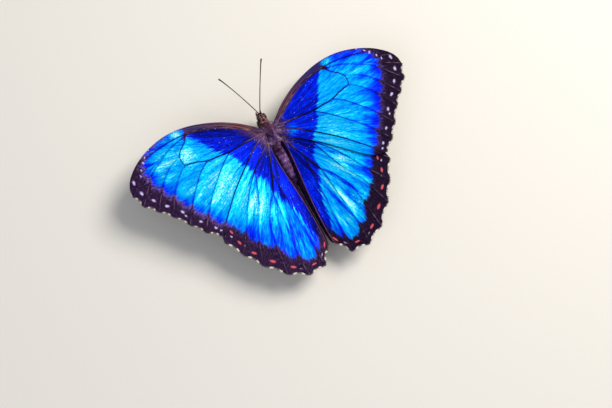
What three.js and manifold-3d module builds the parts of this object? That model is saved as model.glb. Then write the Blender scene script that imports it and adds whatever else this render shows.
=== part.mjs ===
// A blue morpho butterfly at rest, life size, with its wings spread almost flat.
// Millimetres. +X is the animal's right, +Y its head end, +Z up. The sizes below are given
// from a point between the wing roots; the finished group stands on z = 0.
import * as THREE from 'three';
import { mergeVertices } from 'three/addons/utils/BufferGeometryUtils.js';
import Module from 'manifold-3d';

const wasm = await Module();
wasm.setup();

// ---------------------------------------------------------------- driving dimensions
const HINGE_HEIGHT = 11;          // wing roots above the ground
const GROUND = { wide: 60, long: 80, thick: 4 };   // what the feet are cut flat by
const HINGE_HALF = 3;             // wing roots to either side of the middle line
const CLEARANCE = 0.3;            // gap between pieces that touch on the animal
const WING_THICKNESS = 0.5;
const WING_RISE = 0.125;          // slope of a wing at its root, rising outwards
const WING_DROOP = 0.0009;        // and how much of it is lost towards the tip, per mm
const HINDWING_DROP = 0.9;        // hindwing under forewing
const HINDWING_TRAIL = 0.02;      // slope of the hindwing, falling backwards
const FOREWING_SCALLOP = 0.7;     // depth of the margin's hollows between two veins
const HINDWING_SCALLOP = 0.9;
const FLAP_DEPTH = 3.2;           // inner edge of the hindwing, folded down by the abdomen
const FLAP_LEAST = 0.3;           // its depth where it runs out, at the wing's hind corner
const FLAP_START = 0.12;          // where on the half sine of its depth the root end lies
const FLAP_LEAN = 0.35;           // how far it leans in beside the abdomen
const FLAP_LEAN_STRETCH = 0.625;  // the share of its length over which that lean grows
const FLAP_CLOSING = [0.46, 0.64];   // behind the abdomen, over this stretch, it closes in
const FLAP_MEET = 0.4;            // until its lower edge is this far from the middle line
const FLAP_FULL = 2;              // where it is at least this deep
const EYE = { centre: [1.25, 6.4, -2.9], radii: [0.85, 1.4, 1.45] };

// Forewing: front edge from the root to the tip, then where the veins end on the outer
// edge, then the hind edge back to the root. The whole outline can be seen from the hub.
const FOREWING = {
  hub: [4, -0.5],
  front: [[1, 0], [4.6, 3.1], [10, 7.4], [18, 11.7], [28, 14.8], [37, 15.4], [45, 13.7],
    [52, 10.4], [57, 6.4], [59.6, 2.4], [60, -1]],
  tips: [[60, -1], [58, -6.8], [53.8, -11.2], [49.6, -15.6], [45.4, -21.4], [41.2, -26.8],
    [36.4, -30.8]],
  hind: [[36.4, -30.8], [31, -28.9], [24.5, -23.2], [15.5, -14.4], [8, -8.4], [4, -5], [1, -3]],
};

// Hindwing: front edge, hidden under the forewing, vein ends, and the crease beside the
// abdomen where the inner edge turns down.
const HINDWING = {
  hub: [4.5, -6],
  front: [[1, -2.2], [8, -3.4], [18, -8.6], [28, -17.5], [35, -26.5], [36.9, -33]],
  tips: [[36.9, -33], [32.6, -40.8], [27.6, -48.2], [20.8, -55.4], [13.2, -59.4], [6, -58.8],
    [1.5, -52.6]],
  crease: [[1.5, -52.6], [1.15, -47], [1.25, -38], [1.9, -28], [2.75, -18], [3.1, -11],
    [2.7, -7], [1, -4.6]],
};

// The body: stations along Y with the height of the axis, half width and half height.
const HEAD = [[3.55, -3, 1.2, 1.35], [4.5, -3, 1.5, 1.7], [6, -3, 1.6, 1.95],
  [7.4, -3.2, 1.35, 1.7], [8.3, -3.4, 0.85, 1.1], [8.7, -3.5, 0.35, 0.5]];
const THORAX = [[3.2, -2.9, 1.6, 1.75], [2.4, -2.7, 2.5, 2.5], [0.8, -2.4, 3.35, 3.3],
  [-2, -2.3, 3.6, 3.6], [-4.8, -2.8, 3.05, 3.1], [-6.7, -3.2, 2.15, 2.25], [-7.3, -3.3, 1.8, 1.9]];
const ABDOMEN = [[-7.65, -3.4, 1.65, 1.8], [-9.5, -3.6, 2, 2.1], [-13, -4, 2.15, 2.3],
  [-17, -4.5, 2.05, 2.15], [-20.5, -5, 1.6, 1.65], [-23, -5.3, 1, 1.05], [-24.4, -5.5, 0.45, 0.5]];
const ABDOMEN_RINGS = 8;
const RING_GROOVE = 0.07;         // depth of the groove between two rings, of the half width

// Limbs and feelers: points from the root outwards, with the radius at each.
const ANTENNA = {
  path: [[0.4, 7.8, -2.7], [0.85, 9.4, -1.5], [4.7, 16.8, 3.6], [8.1, 22.8, 7.2], [9.5, 25, 8.3]],
  radii: [0.27, 0.25, 0.25, 0.3, 0.4],
};
const PALP = { path: [[0.95, 6.8, -4.6], [0.95, 8.3, -4.9], [0.9, 9.3, -3.9]], radii: [0.4, 0.42, 0.28] };
const PROBOSCIS = { centre: [6.7, -6.4], inner: 0.5, pitch: 0.72, turns: 1.7, radius: 0.27 };
const FORELEG = {
  path: [[1.2, 2.4, -4.4], [1.9, 4.2, -5.9], [1.7, 5.9, -6.5], [1.5, 4.6, -7.2], [1.3, 2.6, -7.6]],
  radii: [0.5, 0.45, 0.36, 0.34, 0.28],
};
const MIDLEG = {
  path: [[1.2, -0.6, -4.2], [3.4, 0.6, -5.6], [6.6, 1.4, -3.9], [8.2, 2.2, -4.6], [10.8, 3.8, -9.6],
    [11.8, 4.8, -10.72], [14.2, 6.4, -10.72]],
  radii: [0.7, 0.6, 0.42, 0.42, 0.3, 0.28, 0.28],
};
const HINDLEG = {
  path: [[1.1, -3.4, -4.2], [3, -5.4, -5.6], [5.6, -9.6, -4.1], [6.8, -11.4, -4.8], [9.4, -17.2, -9.7],
    [9.9, -18.8, -10.72], [11, -22.2, -10.72]],
  radii: [0.7, 0.6, 0.42, 0.42, 0.3, 0.28, 0.28],
};

// Facets: steps along each line and round each body.
const WING_RINGS = [0.3, 0.56, 0.8, 1];   // shares of the way from a wing's hub to its outline
const FOREWING_STEPS = { front: 18, scallop: 5, hind: 8 };
const HINDWING_STEPS = { front: 10, scallop: 6, crease: 14 };
const THORAX_RINGS = 9;
const EYE_FACETS = [12, 8];
const PALP_STEPS = 6;
const TONGUE_POINTS = 10;         // points of its path for each turn
const TONGUE = { steps: 24, sides: 6 };
const FORELEG_STEPS = 10;
const LEG_STEPS = 20;

// ---------------------------------------------------------------- solids and cuts
/** A closed geometry as a solid that can be joined and cut. */
function solidOf(geometry) {
  const bare = geometry.clone();
  bare.deleteAttribute('normal');
  bare.deleteAttribute('uv');
  const merged = mergeVertices(bare, 1e-4);
  return new wasm.Manifold(new wasm.Mesh({
    numProp: 3,
    vertProperties: new Float32Array(merged.attributes.position.array),
    triVerts: new Uint32Array(merged.index.array),
  }));
}

/** A solid back as a geometry. */
function geometryOf(solid) {
  const mesh = solid.getMesh();
  return indexed(Array.from(mesh.vertProperties), Array.from(mesh.triVerts));
}

/** A geometry from a flat list of coordinates and a flat list of corners. */
function indexed(coordinates, corners) {
  const geometry = new THREE.BufferGeometry();
  geometry.setAttribute('position', new THREE.Float32BufferAttribute(coordinates, 3));
  geometry.setIndex(corners);
  geometry.computeVertexNormals();
  return geometry;
}

/** What is left of a geometry once other solids are taken out of it. */
function cut(geometry, ...others) {
  const left = others.reduce((solid, other) => solid.subtract(other), solidOf(geometry));
  return geometryOf(left);
}

/** The same piece on the animal's left. */
function mirrored(geometry) {
  const flipped = geometry.clone().scale(-1, 1, 1);
  const corners = flipped.index.array;
  for (let i = 0; i < corners.length; i += 3) {
    [corners[i], corners[i + 1]] = [corners[i + 1], corners[i]];
  }
  flipped.computeVertexNormals();
  return flipped;
}

// ---------------------------------------------------------------- rings joined to a body
/** Rings of points, all with as many points, joined in turn and closed at both ends. */
function skinned(rings) {
  const sides = rings[0].length;
  const points = rings.flat();
  const corners = [];
  for (let ring = 0; ring + 1 < rings.length; ring += 1) {
    for (let side = 0; side < sides; side += 1) {
      const a = ring * sides + side;
      const b = ring * sides + (side + 1) % sides;
      corners.push(a, b, b + sides, a, b + sides, a + sides);
    }
  }
  const last = (rings.length - 1) * sides;
  const ends = [middleOf(rings[0]), middleOf(rings[rings.length - 1])];
  for (let side = 0; side < sides; side += 1) {
    const next = (side + 1) % sides;
    corners.push(points.length, next, side);
    corners.push(points.length + 1, last + side, last + next);
  }
  return indexed([...points, ...ends].flatMap((point) => point.toArray()), corners);
}

function middleOf(ring) {
  const sum = ring.reduce((total, point) => total.add(point), new THREE.Vector3());
  return sum.divideScalar(ring.length);
}

/** A body of oval sections along Y; grow widens it all round, groove(t) narrows a section. */
function trunk(stations, { grow = 0, rings = 8, sides = 12, groove = () => 0 } = {}) {
  const axis = new THREE.CatmullRomCurve3(stations.map(([y, z]) => new THREE.Vector3(0, y, z)));
  const girth = new THREE.CatmullRomCurve3(stations.map(([y, , w, h]) => new THREE.Vector3(w, h, y)));
  const forwards = Math.sign(stations[stations.length - 1][0] - stations[0][0]);
  const sections = [];
  for (let ring = 0; ring <= rings; ring += 1) {
    const t = ring / rings;
    const centre = axis.getPoint(t);
    const half = girth.getPoint(t).multiplyScalar(1 - groove(t));
    const end = ring === 0 ? -grow : (ring === rings ? grow : 0);
    const section = [];
    for (let side = 0; side < sides; side += 1) {
      const turn = -forwards * side / sides * 2 * Math.PI;
      section.push(new THREE.Vector3(
        (half.x + grow) * Math.cos(turn),
        centre.y + forwards * end,
        centre.z + (half.y + grow) * Math.sin(turn),
      ));
    }
    sections.push(section);
  }
  return skinned(sections);
}

/** A limb: round sections of changing radius along a smooth path. */
function limb({ path, radii }, { steps = 14, sides = 8 } = {}) {
  const curve = new THREE.CatmullRomCurve3(path.map((p) => new THREE.Vector3(...p)), false, 'centripetal');
  const frames = curve.computeFrenetFrames(steps, false);
  const sections = [];
  for (let step = 0; step <= steps; step += 1) {
    const t = curve.getUtoTmapping(step / steps);
    const centre = curve.getPoint(t);
    const place = t * (radii.length - 1);
    const from = Math.min(Math.floor(place), radii.length - 2);
    const radius = THREE.MathUtils.lerp(radii[from], radii[from + 1], place - from);
    const section = [];
    for (let side = 0; side < sides; side += 1) {
      const turn = side / sides * 2 * Math.PI;
      section.push(centre.clone()
        .addScaledVector(frames.normals[step], radius * Math.cos(turn))
        .addScaledVector(frames.binormals[step], radius * Math.sin(turn)));
    }
    sections.push(section);
  }
  return skinned(sections);
}

/** A leg that ends in a foot with a small flat on the ground. */
function standingLeg(measure) {
  const { wide, long, thick } = GROUND;
  const ground = new THREE.BoxGeometry(wide, long, thick);
  ground.translate(0, 0, -HINGE_HEIGHT - thick / 2);
  return cut(limb(measure, { steps: LEG_STEPS }), thoraxRoom, solidOf(ground));
}

// ---------------------------------------------------------------- wings
/** Points of a smooth line through the given ones. */
function smoothLine(points, steps) {
  const line = new THREE.SplineCurve(points.map(([x, y]) => new THREE.Vector2(x, y)));
  return line.getPoints(steps);
}

/** The outer edge: a hollow of the given depth between each two vein ends, round at both. */
function scalloped(tips, depth, steps) {
  const edge = [];
  for (let tip = 0; tip + 1 < tips.length; tip += 1) {
    const from = new THREE.Vector2(...tips[tip]);
    const to = new THREE.Vector2(...tips[tip + 1]);
    const along = to.clone().sub(from).normalize();
    const inwards = new THREE.Vector2(along.y, -along.x);
    for (let step = 0; step < steps; step += 1) {
      const t = step / steps;
      const hollow = depth * (1 - Math.cos(2 * Math.PI * t)) / 2;
      edge.push(from.clone().lerp(to, t).addScaledVector(inwards, hollow));
    }
  }
  return edge;
}

/** Height of the forewing's middle over the hinge: it rises outwards and levels off. */
function forewingHeight(x) {
  const out = Math.max(x - HINGE_HALF, 0);
  return WING_RISE * out - WING_DROOP * out * out;
}

/** Height of the hindwing's middle: under the forewing, and falling backwards. */
function hindwingHeight(x, y) {
  return forewingHeight(x) - HINDWING_DROP - HINDWING_TRAIL * Math.max(0, -10 - y);
}

/** A sheet of triangles from a hub out to an outline, in rings, at the given height. */
function fan(hub, outline, height, shares = WING_RINGS) {
  const centre = new THREE.Vector2(...hub);
  const raise = (flat) => new THREE.Vector3(flat.x, flat.y, height(flat.x, flat.y));
  const points = [raise(centre)];
  const faces = [];
  const count = outline.length;
  shares.forEach((share, ring) => {
    outline.forEach((end, i) => {
      points.push(raise(centre.clone().lerp(end, share)));
      const a = 1 + ring * count + i;
      const b = 1 + ring * count + (i + 1) % count;
      if (ring === 0) {
        faces.push([0, b, a]);
      } else {
        faces.push([a - count, b - count, b], [a - count, b, a]);
      }
    });
  });
  const rim = outline.map((_, i) => 1 + (shares.length - 1) * count + i);
  return { points, faces, rim };
}

/** A sheet given a thickness, half to either side, with its edges closed. */
function thickened({ points, faces }, thickness) {
  const middle = indexed(points.flatMap((point) => point.toArray()), faces.flat());
  const normals = middle.attributes.normal;
  const offset = (side) => points.map((point, i) => point.clone()
    .addScaledVector(new THREE.Vector3().fromBufferAttribute(normals, i), side * thickness / 2));
  const count = points.length;
  const corners = [];
  const edges = new Map();
  faces.forEach(([a, b, c]) => {
    corners.push(a, b, c, count + a, count + c, count + b);
    [[a, b], [b, c], [c, a]].forEach(([from, to]) => {
      if (!edges.delete(`${to},${from}`)) {
        edges.set(`${from},${to}`, [from, to]);
      }
    });
  });
  edges.forEach(([from, to]) => {
    corners.push(to, from, count + from, to, count + from, count + to);
  });
  return indexed([...offset(1), ...offset(-1)].flatMap((point) => point.toArray()), corners);
}

function forewing() {
  const outline = [
    ...smoothLine(FOREWING.front, FOREWING_STEPS.front).slice(0, -1),
    ...scalloped(FOREWING.tips, FOREWING_SCALLOP, FOREWING_STEPS.scallop),
    ...smoothLine(FOREWING.hind, FOREWING_STEPS.hind),
  ];
  const sheet = fan(FOREWING.hub, outline.reverse(), (x) => forewingHeight(x));
  return cut(thickened(sheet, WING_THICKNESS), thoraxRoom);
}

function hindwing() {
  const crease = smoothLine(HINDWING.crease, HINDWING_STEPS.crease);
  const outline = [
    ...smoothLine(HINDWING.front, HINDWING_STEPS.front).slice(0, -1),
    ...scalloped(HINDWING.tips, HINDWING_SCALLOP, HINDWING_STEPS.scallop),
    ...crease,
  ].reverse();
  const sheet = fan(HINDWING.hub, outline, hindwingHeight);
  // The outline now starts at the root end of the crease, whose points come first.
  const fold = sheet.rim.slice(0, crease.length);
  fold.forEach((top, i) => {
    const along = i / (fold.length - 1);
    const wave = Math.PI * THREE.MathUtils.lerp(FLAP_START, 1, along);
    const depth = FLAP_DEPTH * Math.sqrt(Math.max(0, Math.sin(wave)));
    const { x, y, z } = sheet.points[top];
    const beside = FLAP_LEAN * Math.min(1, along / FLAP_LEAN_STRETCH);
    const behind = (x - FLAP_MEET) * Math.min(1, depth / FLAP_FULL);
    const lean = THREE.MathUtils.lerp(beside, behind, THREE.MathUtils.smoothstep(along, ...FLAP_CLOSING));
    sheet.points.push(new THREE.Vector3(x - lean, y, z - Math.max(depth, FLAP_LEAST)));
    if (i > 0) {
      const low = sheet.points.length - 1;
      sheet.faces.push([fold[i - 1], fold[i], low], [fold[i - 1], low, low - 1]);
    }
  });
  return cut(thickened(sheet, WING_THICKNESS), thoraxRoom);
}

// ---------------------------------------------------------------- head pieces
function eye(grow = 0) {
  const ball = new THREE.SphereGeometry(1, ...EYE_FACETS);
  ball.scale(...EYE.radii.map((radius) => radius + grow));
  return ball.translate(...EYE.centre);
}

/** The sucking tongue, wound up like a watch spring under the face. */
function proboscis() {
  const { centre, inner, pitch, turns, radius } = PROBOSCIS;
  const path = [];
  const count = Math.round(turns * TONGUE_POINTS);
  for (let i = 0; i <= count; i += 1) {
    const turn = i / count * turns * 2 * Math.PI;
    const reach = inner + pitch * turn / (2 * Math.PI);
    path.push([0, centre[0] + reach * Math.cos(turn), centre[1] + reach * Math.sin(turn)]);
  }
  return cut(limb({ path, radii: path.map(() => radius) }, TONGUE), headRoom);
}

// ---------------------------------------------------------------- the animal
const headRoom = solidOf(trunk(HEAD, { grow: CLEARANCE }));
const thoraxRoom = solidOf(trunk(THORAX, { grow: CLEARANCE }));
const eyeRoom = solidOf(eye(CLEARANCE / 2));
const leftEyeRoom = solidOf(mirrored(eye(CLEARANCE / 2)));

const LOOKS = {
  fur: { color: '#4a3540', roughness: 0.9, metalness: 0 },
  wing: { color: '#0a5cf0', roughness: 0.4, metalness: 0.2 },
  eye: { color: '#1a1418', roughness: 0.2, metalness: 0 },
  chitin: { color: '#3a2a33', roughness: 0.7, metalness: 0 },
};

const butterfly = new THREE.Group();

function add(name, geometry, look) {
  const mesh = new THREE.Mesh(geometry, new THREE.MeshStandardMaterial(LOOKS[look]));
  mesh.name = name;
  butterfly.add(mesh);
}

function addPair(name, geometry, look) {
  add(`${name}_right`, geometry, look);
  add(`${name}_left`, mirrored(geometry), look);
}

const grooves = (t) => RING_GROOVE * Math.cos(ABDOMEN_RINGS * Math.PI * t) ** 2 * (t > 0.01 ? 1 : 0);

add('head', cut(trunk(HEAD), eyeRoom, leftEyeRoom), 'fur');
add('thorax', trunk(THORAX, { rings: THORAX_RINGS }), 'fur');
add('abdomen', trunk(ABDOMEN, { rings: 2 * ABDOMEN_RINGS, groove: grooves }), 'fur');
addPair('eye', eye(), 'eye');
addPair('antenna', cut(limb(ANTENNA), headRoom), 'chitin');
addPair('palp', cut(limb(PALP, { steps: PALP_STEPS }), headRoom), 'fur');
add('proboscis', proboscis(), 'chitin');
addPair('forewing', forewing(), 'wing');
addPair('hindwing', hindwing(), 'wing');
addPair('foreleg', cut(limb(FORELEG, { steps: FORELEG_STEPS }), thoraxRoom), 'fur');
addPair('midleg', standingLeg(MIDLEG), 'chitin');
addPair('hindleg', standingLeg(HINDLEG), 'chitin');

// Stand the animal on the ground, with the middle of its box over the origin.
const reach = new THREE.Box3().setFromObject(butterfly);
const middle = reach.getCenter(new THREE.Vector3());
butterfly.position.set(-middle.x, -middle.y, -reach.min.z);
butterfly.updateMatrixWorld(true);

export default butterfly;
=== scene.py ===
import math

import bpy
import numpy as np
from mathutils import Matrix, Vector


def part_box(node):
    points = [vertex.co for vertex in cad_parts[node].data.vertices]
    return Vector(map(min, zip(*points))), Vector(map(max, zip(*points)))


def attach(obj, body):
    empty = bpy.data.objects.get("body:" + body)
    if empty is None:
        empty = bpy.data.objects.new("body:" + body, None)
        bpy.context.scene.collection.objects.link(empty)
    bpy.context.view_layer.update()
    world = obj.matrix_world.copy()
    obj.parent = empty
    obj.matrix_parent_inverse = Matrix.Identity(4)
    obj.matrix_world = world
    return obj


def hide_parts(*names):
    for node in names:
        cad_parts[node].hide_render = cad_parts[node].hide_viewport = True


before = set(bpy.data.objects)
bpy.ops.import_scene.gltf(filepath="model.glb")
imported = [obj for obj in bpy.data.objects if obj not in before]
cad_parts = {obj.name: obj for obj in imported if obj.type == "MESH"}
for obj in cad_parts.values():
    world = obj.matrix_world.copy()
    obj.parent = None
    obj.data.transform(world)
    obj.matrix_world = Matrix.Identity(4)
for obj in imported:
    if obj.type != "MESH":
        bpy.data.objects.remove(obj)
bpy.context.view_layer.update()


# ---- The table, the light and the camera ---------------------------------------------
# A pale matt table top under a large soft lamp, with a weaker one from the other side.
# The animal stands on it, and the camera looks down on it from behind its left wing.
MM = 0.001
ROOT_HEIGHT = 11.0                # the point between the wing roots, above the table, mm
THORAX_END = -7.3                 # hind end of the thorax, from that point, mm
ROOT = np.array([0.0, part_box("thorax")[0].y / MM - THORAX_END, ROOT_HEIGHT])

TABLE_SIZE = 3.0
TABLE_COLOUR = "#e4e2dd"
CAMERA_PLACE = (-57.2, -96.0, 358.9)  # from the point between the wing roots, mm
CAMERA_AIM = (-1.4, -34.0, 0.0)
CAMERA_ROLL = 14.13
CAMERA_LENS = 55.06
CAMERA_SENSOR = 36.0
ROOM_LIGHT = 0.34


def placed(points):
    """Millimetres from between the wing roots, as metres in the frame: (point + root) / 1000."""
    return (np.asarray(points, float) + ROOT) * MM


def linear(hex_colour):
    """An sRGB hex colour as linear RGBA: each channel through the sRGB curve's inverse."""
    srgb = np.array([int(hex_colour[i:i + 2], 16) / 255 for i in (1, 3, 5)])
    low = srgb / 12.92
    high = ((srgb + 0.055) / 1.055) ** 2.4
    return (*np.where(srgb <= 0.04045, low, high), 1.0)


def feed(sockets, values):
    """Gives each input its value, its colour from a hex string, or a link from another socket."""
    for socket, value in zip(sockets, values):
        if isinstance(value, bpy.types.NodeSocket):
            socket.id_data.links.new(value, socket)
        elif value is not None:
            socket.default_value = linear(value) if isinstance(value, str) else value


def add(tree, kind, *values, out=None, stops=(), **named):
    """Adds one shader node. The values go in order to the inputs that it then uses, the named ones
    to inputs or settings of that name, and the stops, places with hex colours, to its ramp.
    Returns the first output that it uses, or the one that out names."""
    made = tree.nodes.new("ShaderNode" + kind)
    inputs = {name: named.pop(name) for name in list(named) if name in made.inputs}
    for name, value in named.items():
        setattr(made, name, value)
    feed([socket for socket in made.inputs if socket.enabled], values)
    feed([made.inputs[name] for name in inputs], inputs.values())
    for number, (place, colour) in enumerate(stops):
        ramp = made.color_ramp.elements
        stop = ramp[number] if number < 2 else ramp.new(place)
        stop.position = place
        stop.color = linear(colour)
    return made.outputs[out] if out else next(socket for socket in made.outputs if socket.enabled)


def new_material(name):
    """An empty node material, its tree and its surface shader."""
    material = bpy.data.materials.new(name)
    material.use_nodes = True
    tree = material.node_tree
    return material, tree, tree.nodes["Principled BSDF"]


def set_surface(shader, colour, relief, roughness, mirror=0.5):
    """Gives the surface its colour, its relief, and how rough and how mirror-like it is."""
    names = ["Base Color", "Normal", "Roughness", "Specular IOR Level"]
    feed([shader.inputs[name] for name in names], [colour, relief, roughness, mirror])


bpy.ops.mesh.primitive_plane_add(size=TABLE_SIZE)
table = bpy.context.object
table.name = "table_top"
# Matt laminate: hard, pale and smooth, pressed with a faint grain about 1 mm wide, which dulls it.
table_paint, tree, shader = new_material("matt laminate")
grain = add(tree, "TexNoise", Scale=0.9 / MM, Detail=2.0)
bump = add(tree, "Bump", Height=grain, Strength=0.05, Distance=0.1 * MM)
set_surface(shader, TABLE_COLOUR, bump, 0.75)
table.data.materials.append(table_paint)


def soft_lamp(name, place, size, power, colour):
    """A square lamp at a place in metres, turned to the animal."""
    lamp = bpy.data.lights.new(name, "AREA")
    lamp.size = size
    lamp.energy = power
    lamp.color = linear(colour)[:3]
    holder = bpy.data.objects.new(name, lamp)
    bpy.context.collection.objects.link(holder)
    holder.location = place
    holder.rotation_euler = (-Vector(place)).to_track_quat("-Z", "Y").to_euler()


soft_lamp("lamp_key", (0.5, 0.12, 0.6), 0.4, 6.5, "#fff8ee")
soft_lamp("lamp_fill", (-0.5, -0.3, 0.6), 0.6, 1.4, "#eef3ff")
room = bpy.data.worlds.new("room")
room.use_nodes = True
feed(room.node_tree.nodes["Background"].inputs, ["#f2f4f8", ROOM_LIGHT])
bpy.context.scene.world = room
bpy.context.scene.view_settings.view_transform = "Standard"

camera = bpy.data.objects.new("camera", bpy.data.cameras.new("camera"))
bpy.context.collection.objects.link(camera)
camera.data.lens = CAMERA_LENS
camera.data.sensor_width = CAMERA_SENSOR
camera.data.clip_start = 0.01
place, aim = Vector(placed(CAMERA_PLACE)), Vector(placed(CAMERA_AIM))
level = (aim - place).to_track_quat("-Z", "Y").to_matrix().to_4x4()
camera.matrix_world = level @ Matrix.Rotation(math.radians(CAMERA_ROLL), 4, "Z")
camera.location = place
bpy.context.scene.camera = camera


# ---- Forewings ----------------------------------------------------------------------
# Each is a dry membrane on hollow veins, covered above with blue scales whose ridges throw
# back the colour, and below with brown ones. It rises a little and levels off to the tip.
HINGE_HALF = 3.0
WING_RISE = 0.125
WING_DROOP = 0.0009
MEMBRANE_HALF = 0.1               # half the thickness of membrane and scales
MEMBRANE_RIM = 0.05
FOREWING_HUB = (4, -0.5)          # the whole outline can be seen from here
FOREWING_FRONT = [(1, 0), (4.6, 3.1), (10, 7.4), (18, 11.7), (28, 14.8), (37, 15.4), (45, 13.7),
                  (52, 10.4), (57, 6.4), (59.6, 2.4), (60, -1)]
FOREWING_TIPS = [(60, -1), (58, -6.8), (53.8, -11.2), (49.6, -15.6), (45.4, -21.4),
                 (41.2, -26.8), (36.4, -30.8)]
FOREWING_HIND = [(36.4, -30.8), (31, -28.9), (24.5, -23.2), (15.5, -14.4), (8, -8.4), (4, -5), (1, -3)]
FOREWING_ROOT = (1.6, -1.4)       # where its rows of scales fan out from
FOREWING_SCALLOP = 0.7
FOREWING_VEINS = {
    "radius": [(1.9, 0.2), (3.2, 0.4), (10, 4.9), (15, 8.2), (20, 10.3), (25, 11.7), (31, 12.4),
               (38, 12.2), (45, 11.1), (52, 9.4)],
    "cubitus": [(1.9, -0.3), (3.2, -0.4), (10, -0.9), (18.4, -1.8), (23.2, -1.5), (28, -1.3),
                (32, 0.1), (36.6, 0.9)],
    "cell_end": [(31, 12), (32.8, 9.4), (35.6, 7), (37, 4.9), (37.1, 2.6), (36.6, 0.9)],
    "radial_4": [(45, 7.0), (50, 6.6), (55, 5.4), (59, 3.9)],
    "radial_5": [(42, 8.3), (48, 5.6), (54, 2.4), (60, -1)],
    "median_1": [(32, 11.4), (38, 9.9), (44, 6.8), (50, 2.9), (53.8, -1.8), (58, -6.8)],
    "median_2": [(37, 4.9), (41, 3.3), (45, 0.4), (49, -4.2), (53.8, -11.2)],
    "median_3": [(36.6, 0.9), (39.4, -1.1), (42.5, -4.2), (46, -9), (49.6, -15.6)],
    "cubital_1": [(28, -1.3), (32, -4), (36, -8.2), (40.5, -13.8), (45.4, -21.4)],
    "cubital_2": [(18.4, -1.8), (23, -5.2), (28, -10), (34, -16.4), (39, -23.2), (41.2, -26.8)],
    "anal": [(1.9, -0.8), (3.4, -1.4), (9, -4.6), (15, -9.4), (20, -13.6), (25, -18.2), (30, -23.6),
             (36.4, -30.8)],
}
FOREWING_GIRTH = {"cubitus": 1.3, "anal": 1.25, "radius": 1.1, "cell_end": 1.1, "radial_4": 0.6,
                  "radial_5": 0.7}
VEIN_GIRTH = 0.85                 # of the veins that aren't named there
VEIN_REACH = [3, 12, 40, 55]      # from between the roots, mm, and a vein's half thickness there
VEIN_RADII = [0.34, 0.27, 0.18, 0.16]
VEIN_SIDES = 8
PLEAT_RISE = 0.1                  # the membrane stands up so far at a vein
PLEAT_SAG = 0.14                  # and sinks so far 3 mm from one
OUTLINE_POINTS = 440


def smooth_line(points, count):
    """Catmull-Rom spline: each point is a cubic blend of the four nearest control points."""
    given = np.asarray(points, float)
    last = len(given) - 1
    where = np.linspace(0, last, count)
    start = np.minimum(where.astype(int), last - 1)
    t = (where - start)[:, None]
    before, here = given[np.maximum(start - 1, 0)], given[start]
    there, after = given[start + 1], given[np.minimum(start + 2, last)]
    leave, arrive = (there - before) / 2, (after - here) / 2
    return (here + leave * t + (3 * (there - here) - 2 * leave - arrive) * t ** 2
            + (2 * (here - there) + leave + arrive) * t ** 3)


def unit(vectors, floor=0.0):
    """Each vector divided by its length, plus a floor where that may be 0."""
    return vectors / (np.linalg.norm(vectors, axis=-1, keepdims=True) + floor)


def scalloped(tips, depth, count):
    """The outer edge: straight from vein end to vein end, less depth * (1 - cos 2 pi t) / 2."""
    ends = np.asarray(tips, float)
    start, stop = ends[:-1, None], ends[1:, None]
    t = (np.arange(count) / count)[None, :, None]
    along = unit(stop - start)
    inwards = np.stack([along[..., 1], -along[..., 0]], axis=2)
    edge = start + (stop - start) * t + inwards * depth * (1 - np.cos(2 * np.pi * t)) / 2
    return edge.reshape(-1, 2)


def evenly(points, count):
    """A closed line's points, spaced evenly along it by interpolating over its running length."""
    ring = np.vstack([points, points[:1]])
    reach = np.concatenate([[0], np.cumsum(np.linalg.norm(np.diff(ring, axis=0), axis=1))])
    where = np.linspace(0, reach[-1], count, endpoint=False)
    return np.stack([np.interp(where, reach, ring[:, 0]), np.interp(where, reach, ring[:, 1])], axis=1)


def line_distance(points, line):
    """Shortest distance from each point to the stretches of a line, by projection on each."""
    nearest = np.full(points.shape[:-1], np.inf)
    for start, stop in zip(line[:-1], line[1:]):
        step = stop - start
        share = np.clip((points - start) @ step / max(step @ step, 1e-12), 0, 1)
        gap = np.linalg.norm(points - start - share[..., None] * step, axis=-1)
        nearest = np.minimum(nearest, gap)
    return nearest


def area_distance(points, outline):
    """Distance to a closed outline, negative inside it: the sign is the even-odd crossing rule."""
    ring = np.vstack([outline, outline[:1]])
    inside = np.zeros(points.shape[:-1], bool)
    x, y = points[..., 0], points[..., 1]
    for (x1, y1), (x2, y2) in zip(ring[:-1], ring[1:]):
        if y1 != y2:
            inside ^= ((y1 > y) != (y2 > y)) & (x < (x2 - x1) * (y - y1) / (y2 - y1) + x1)
    return np.where(inside, -1, 1) * line_distance(points, ring)


def vein_distance(points, veins):
    """Distance to the nearest vein: the least of the distances to their lines."""
    lines = [smooth_line(line, 4 * len(line)) for line in veins.values()]
    return np.min([line_distance(points, line) for line in lines], axis=0)


def forewing_height(points):
    """Rise * out - droop * out squared, out being the distance beyond the hinge."""
    out = np.maximum(points[..., 0] - HINGE_HALF, 0)
    return WING_RISE * out - WING_DROOP * out ** 2


def pleats(points, veins):
    """The membrane stands up a little at the veins and sinks between them."""
    gap = vein_distance(points, veins)
    return PLEAT_RISE * np.exp(-(gap / 0.8) ** 2) - PLEAT_SAG * np.clip(gap / 3, 0, 1) ** 2


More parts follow.
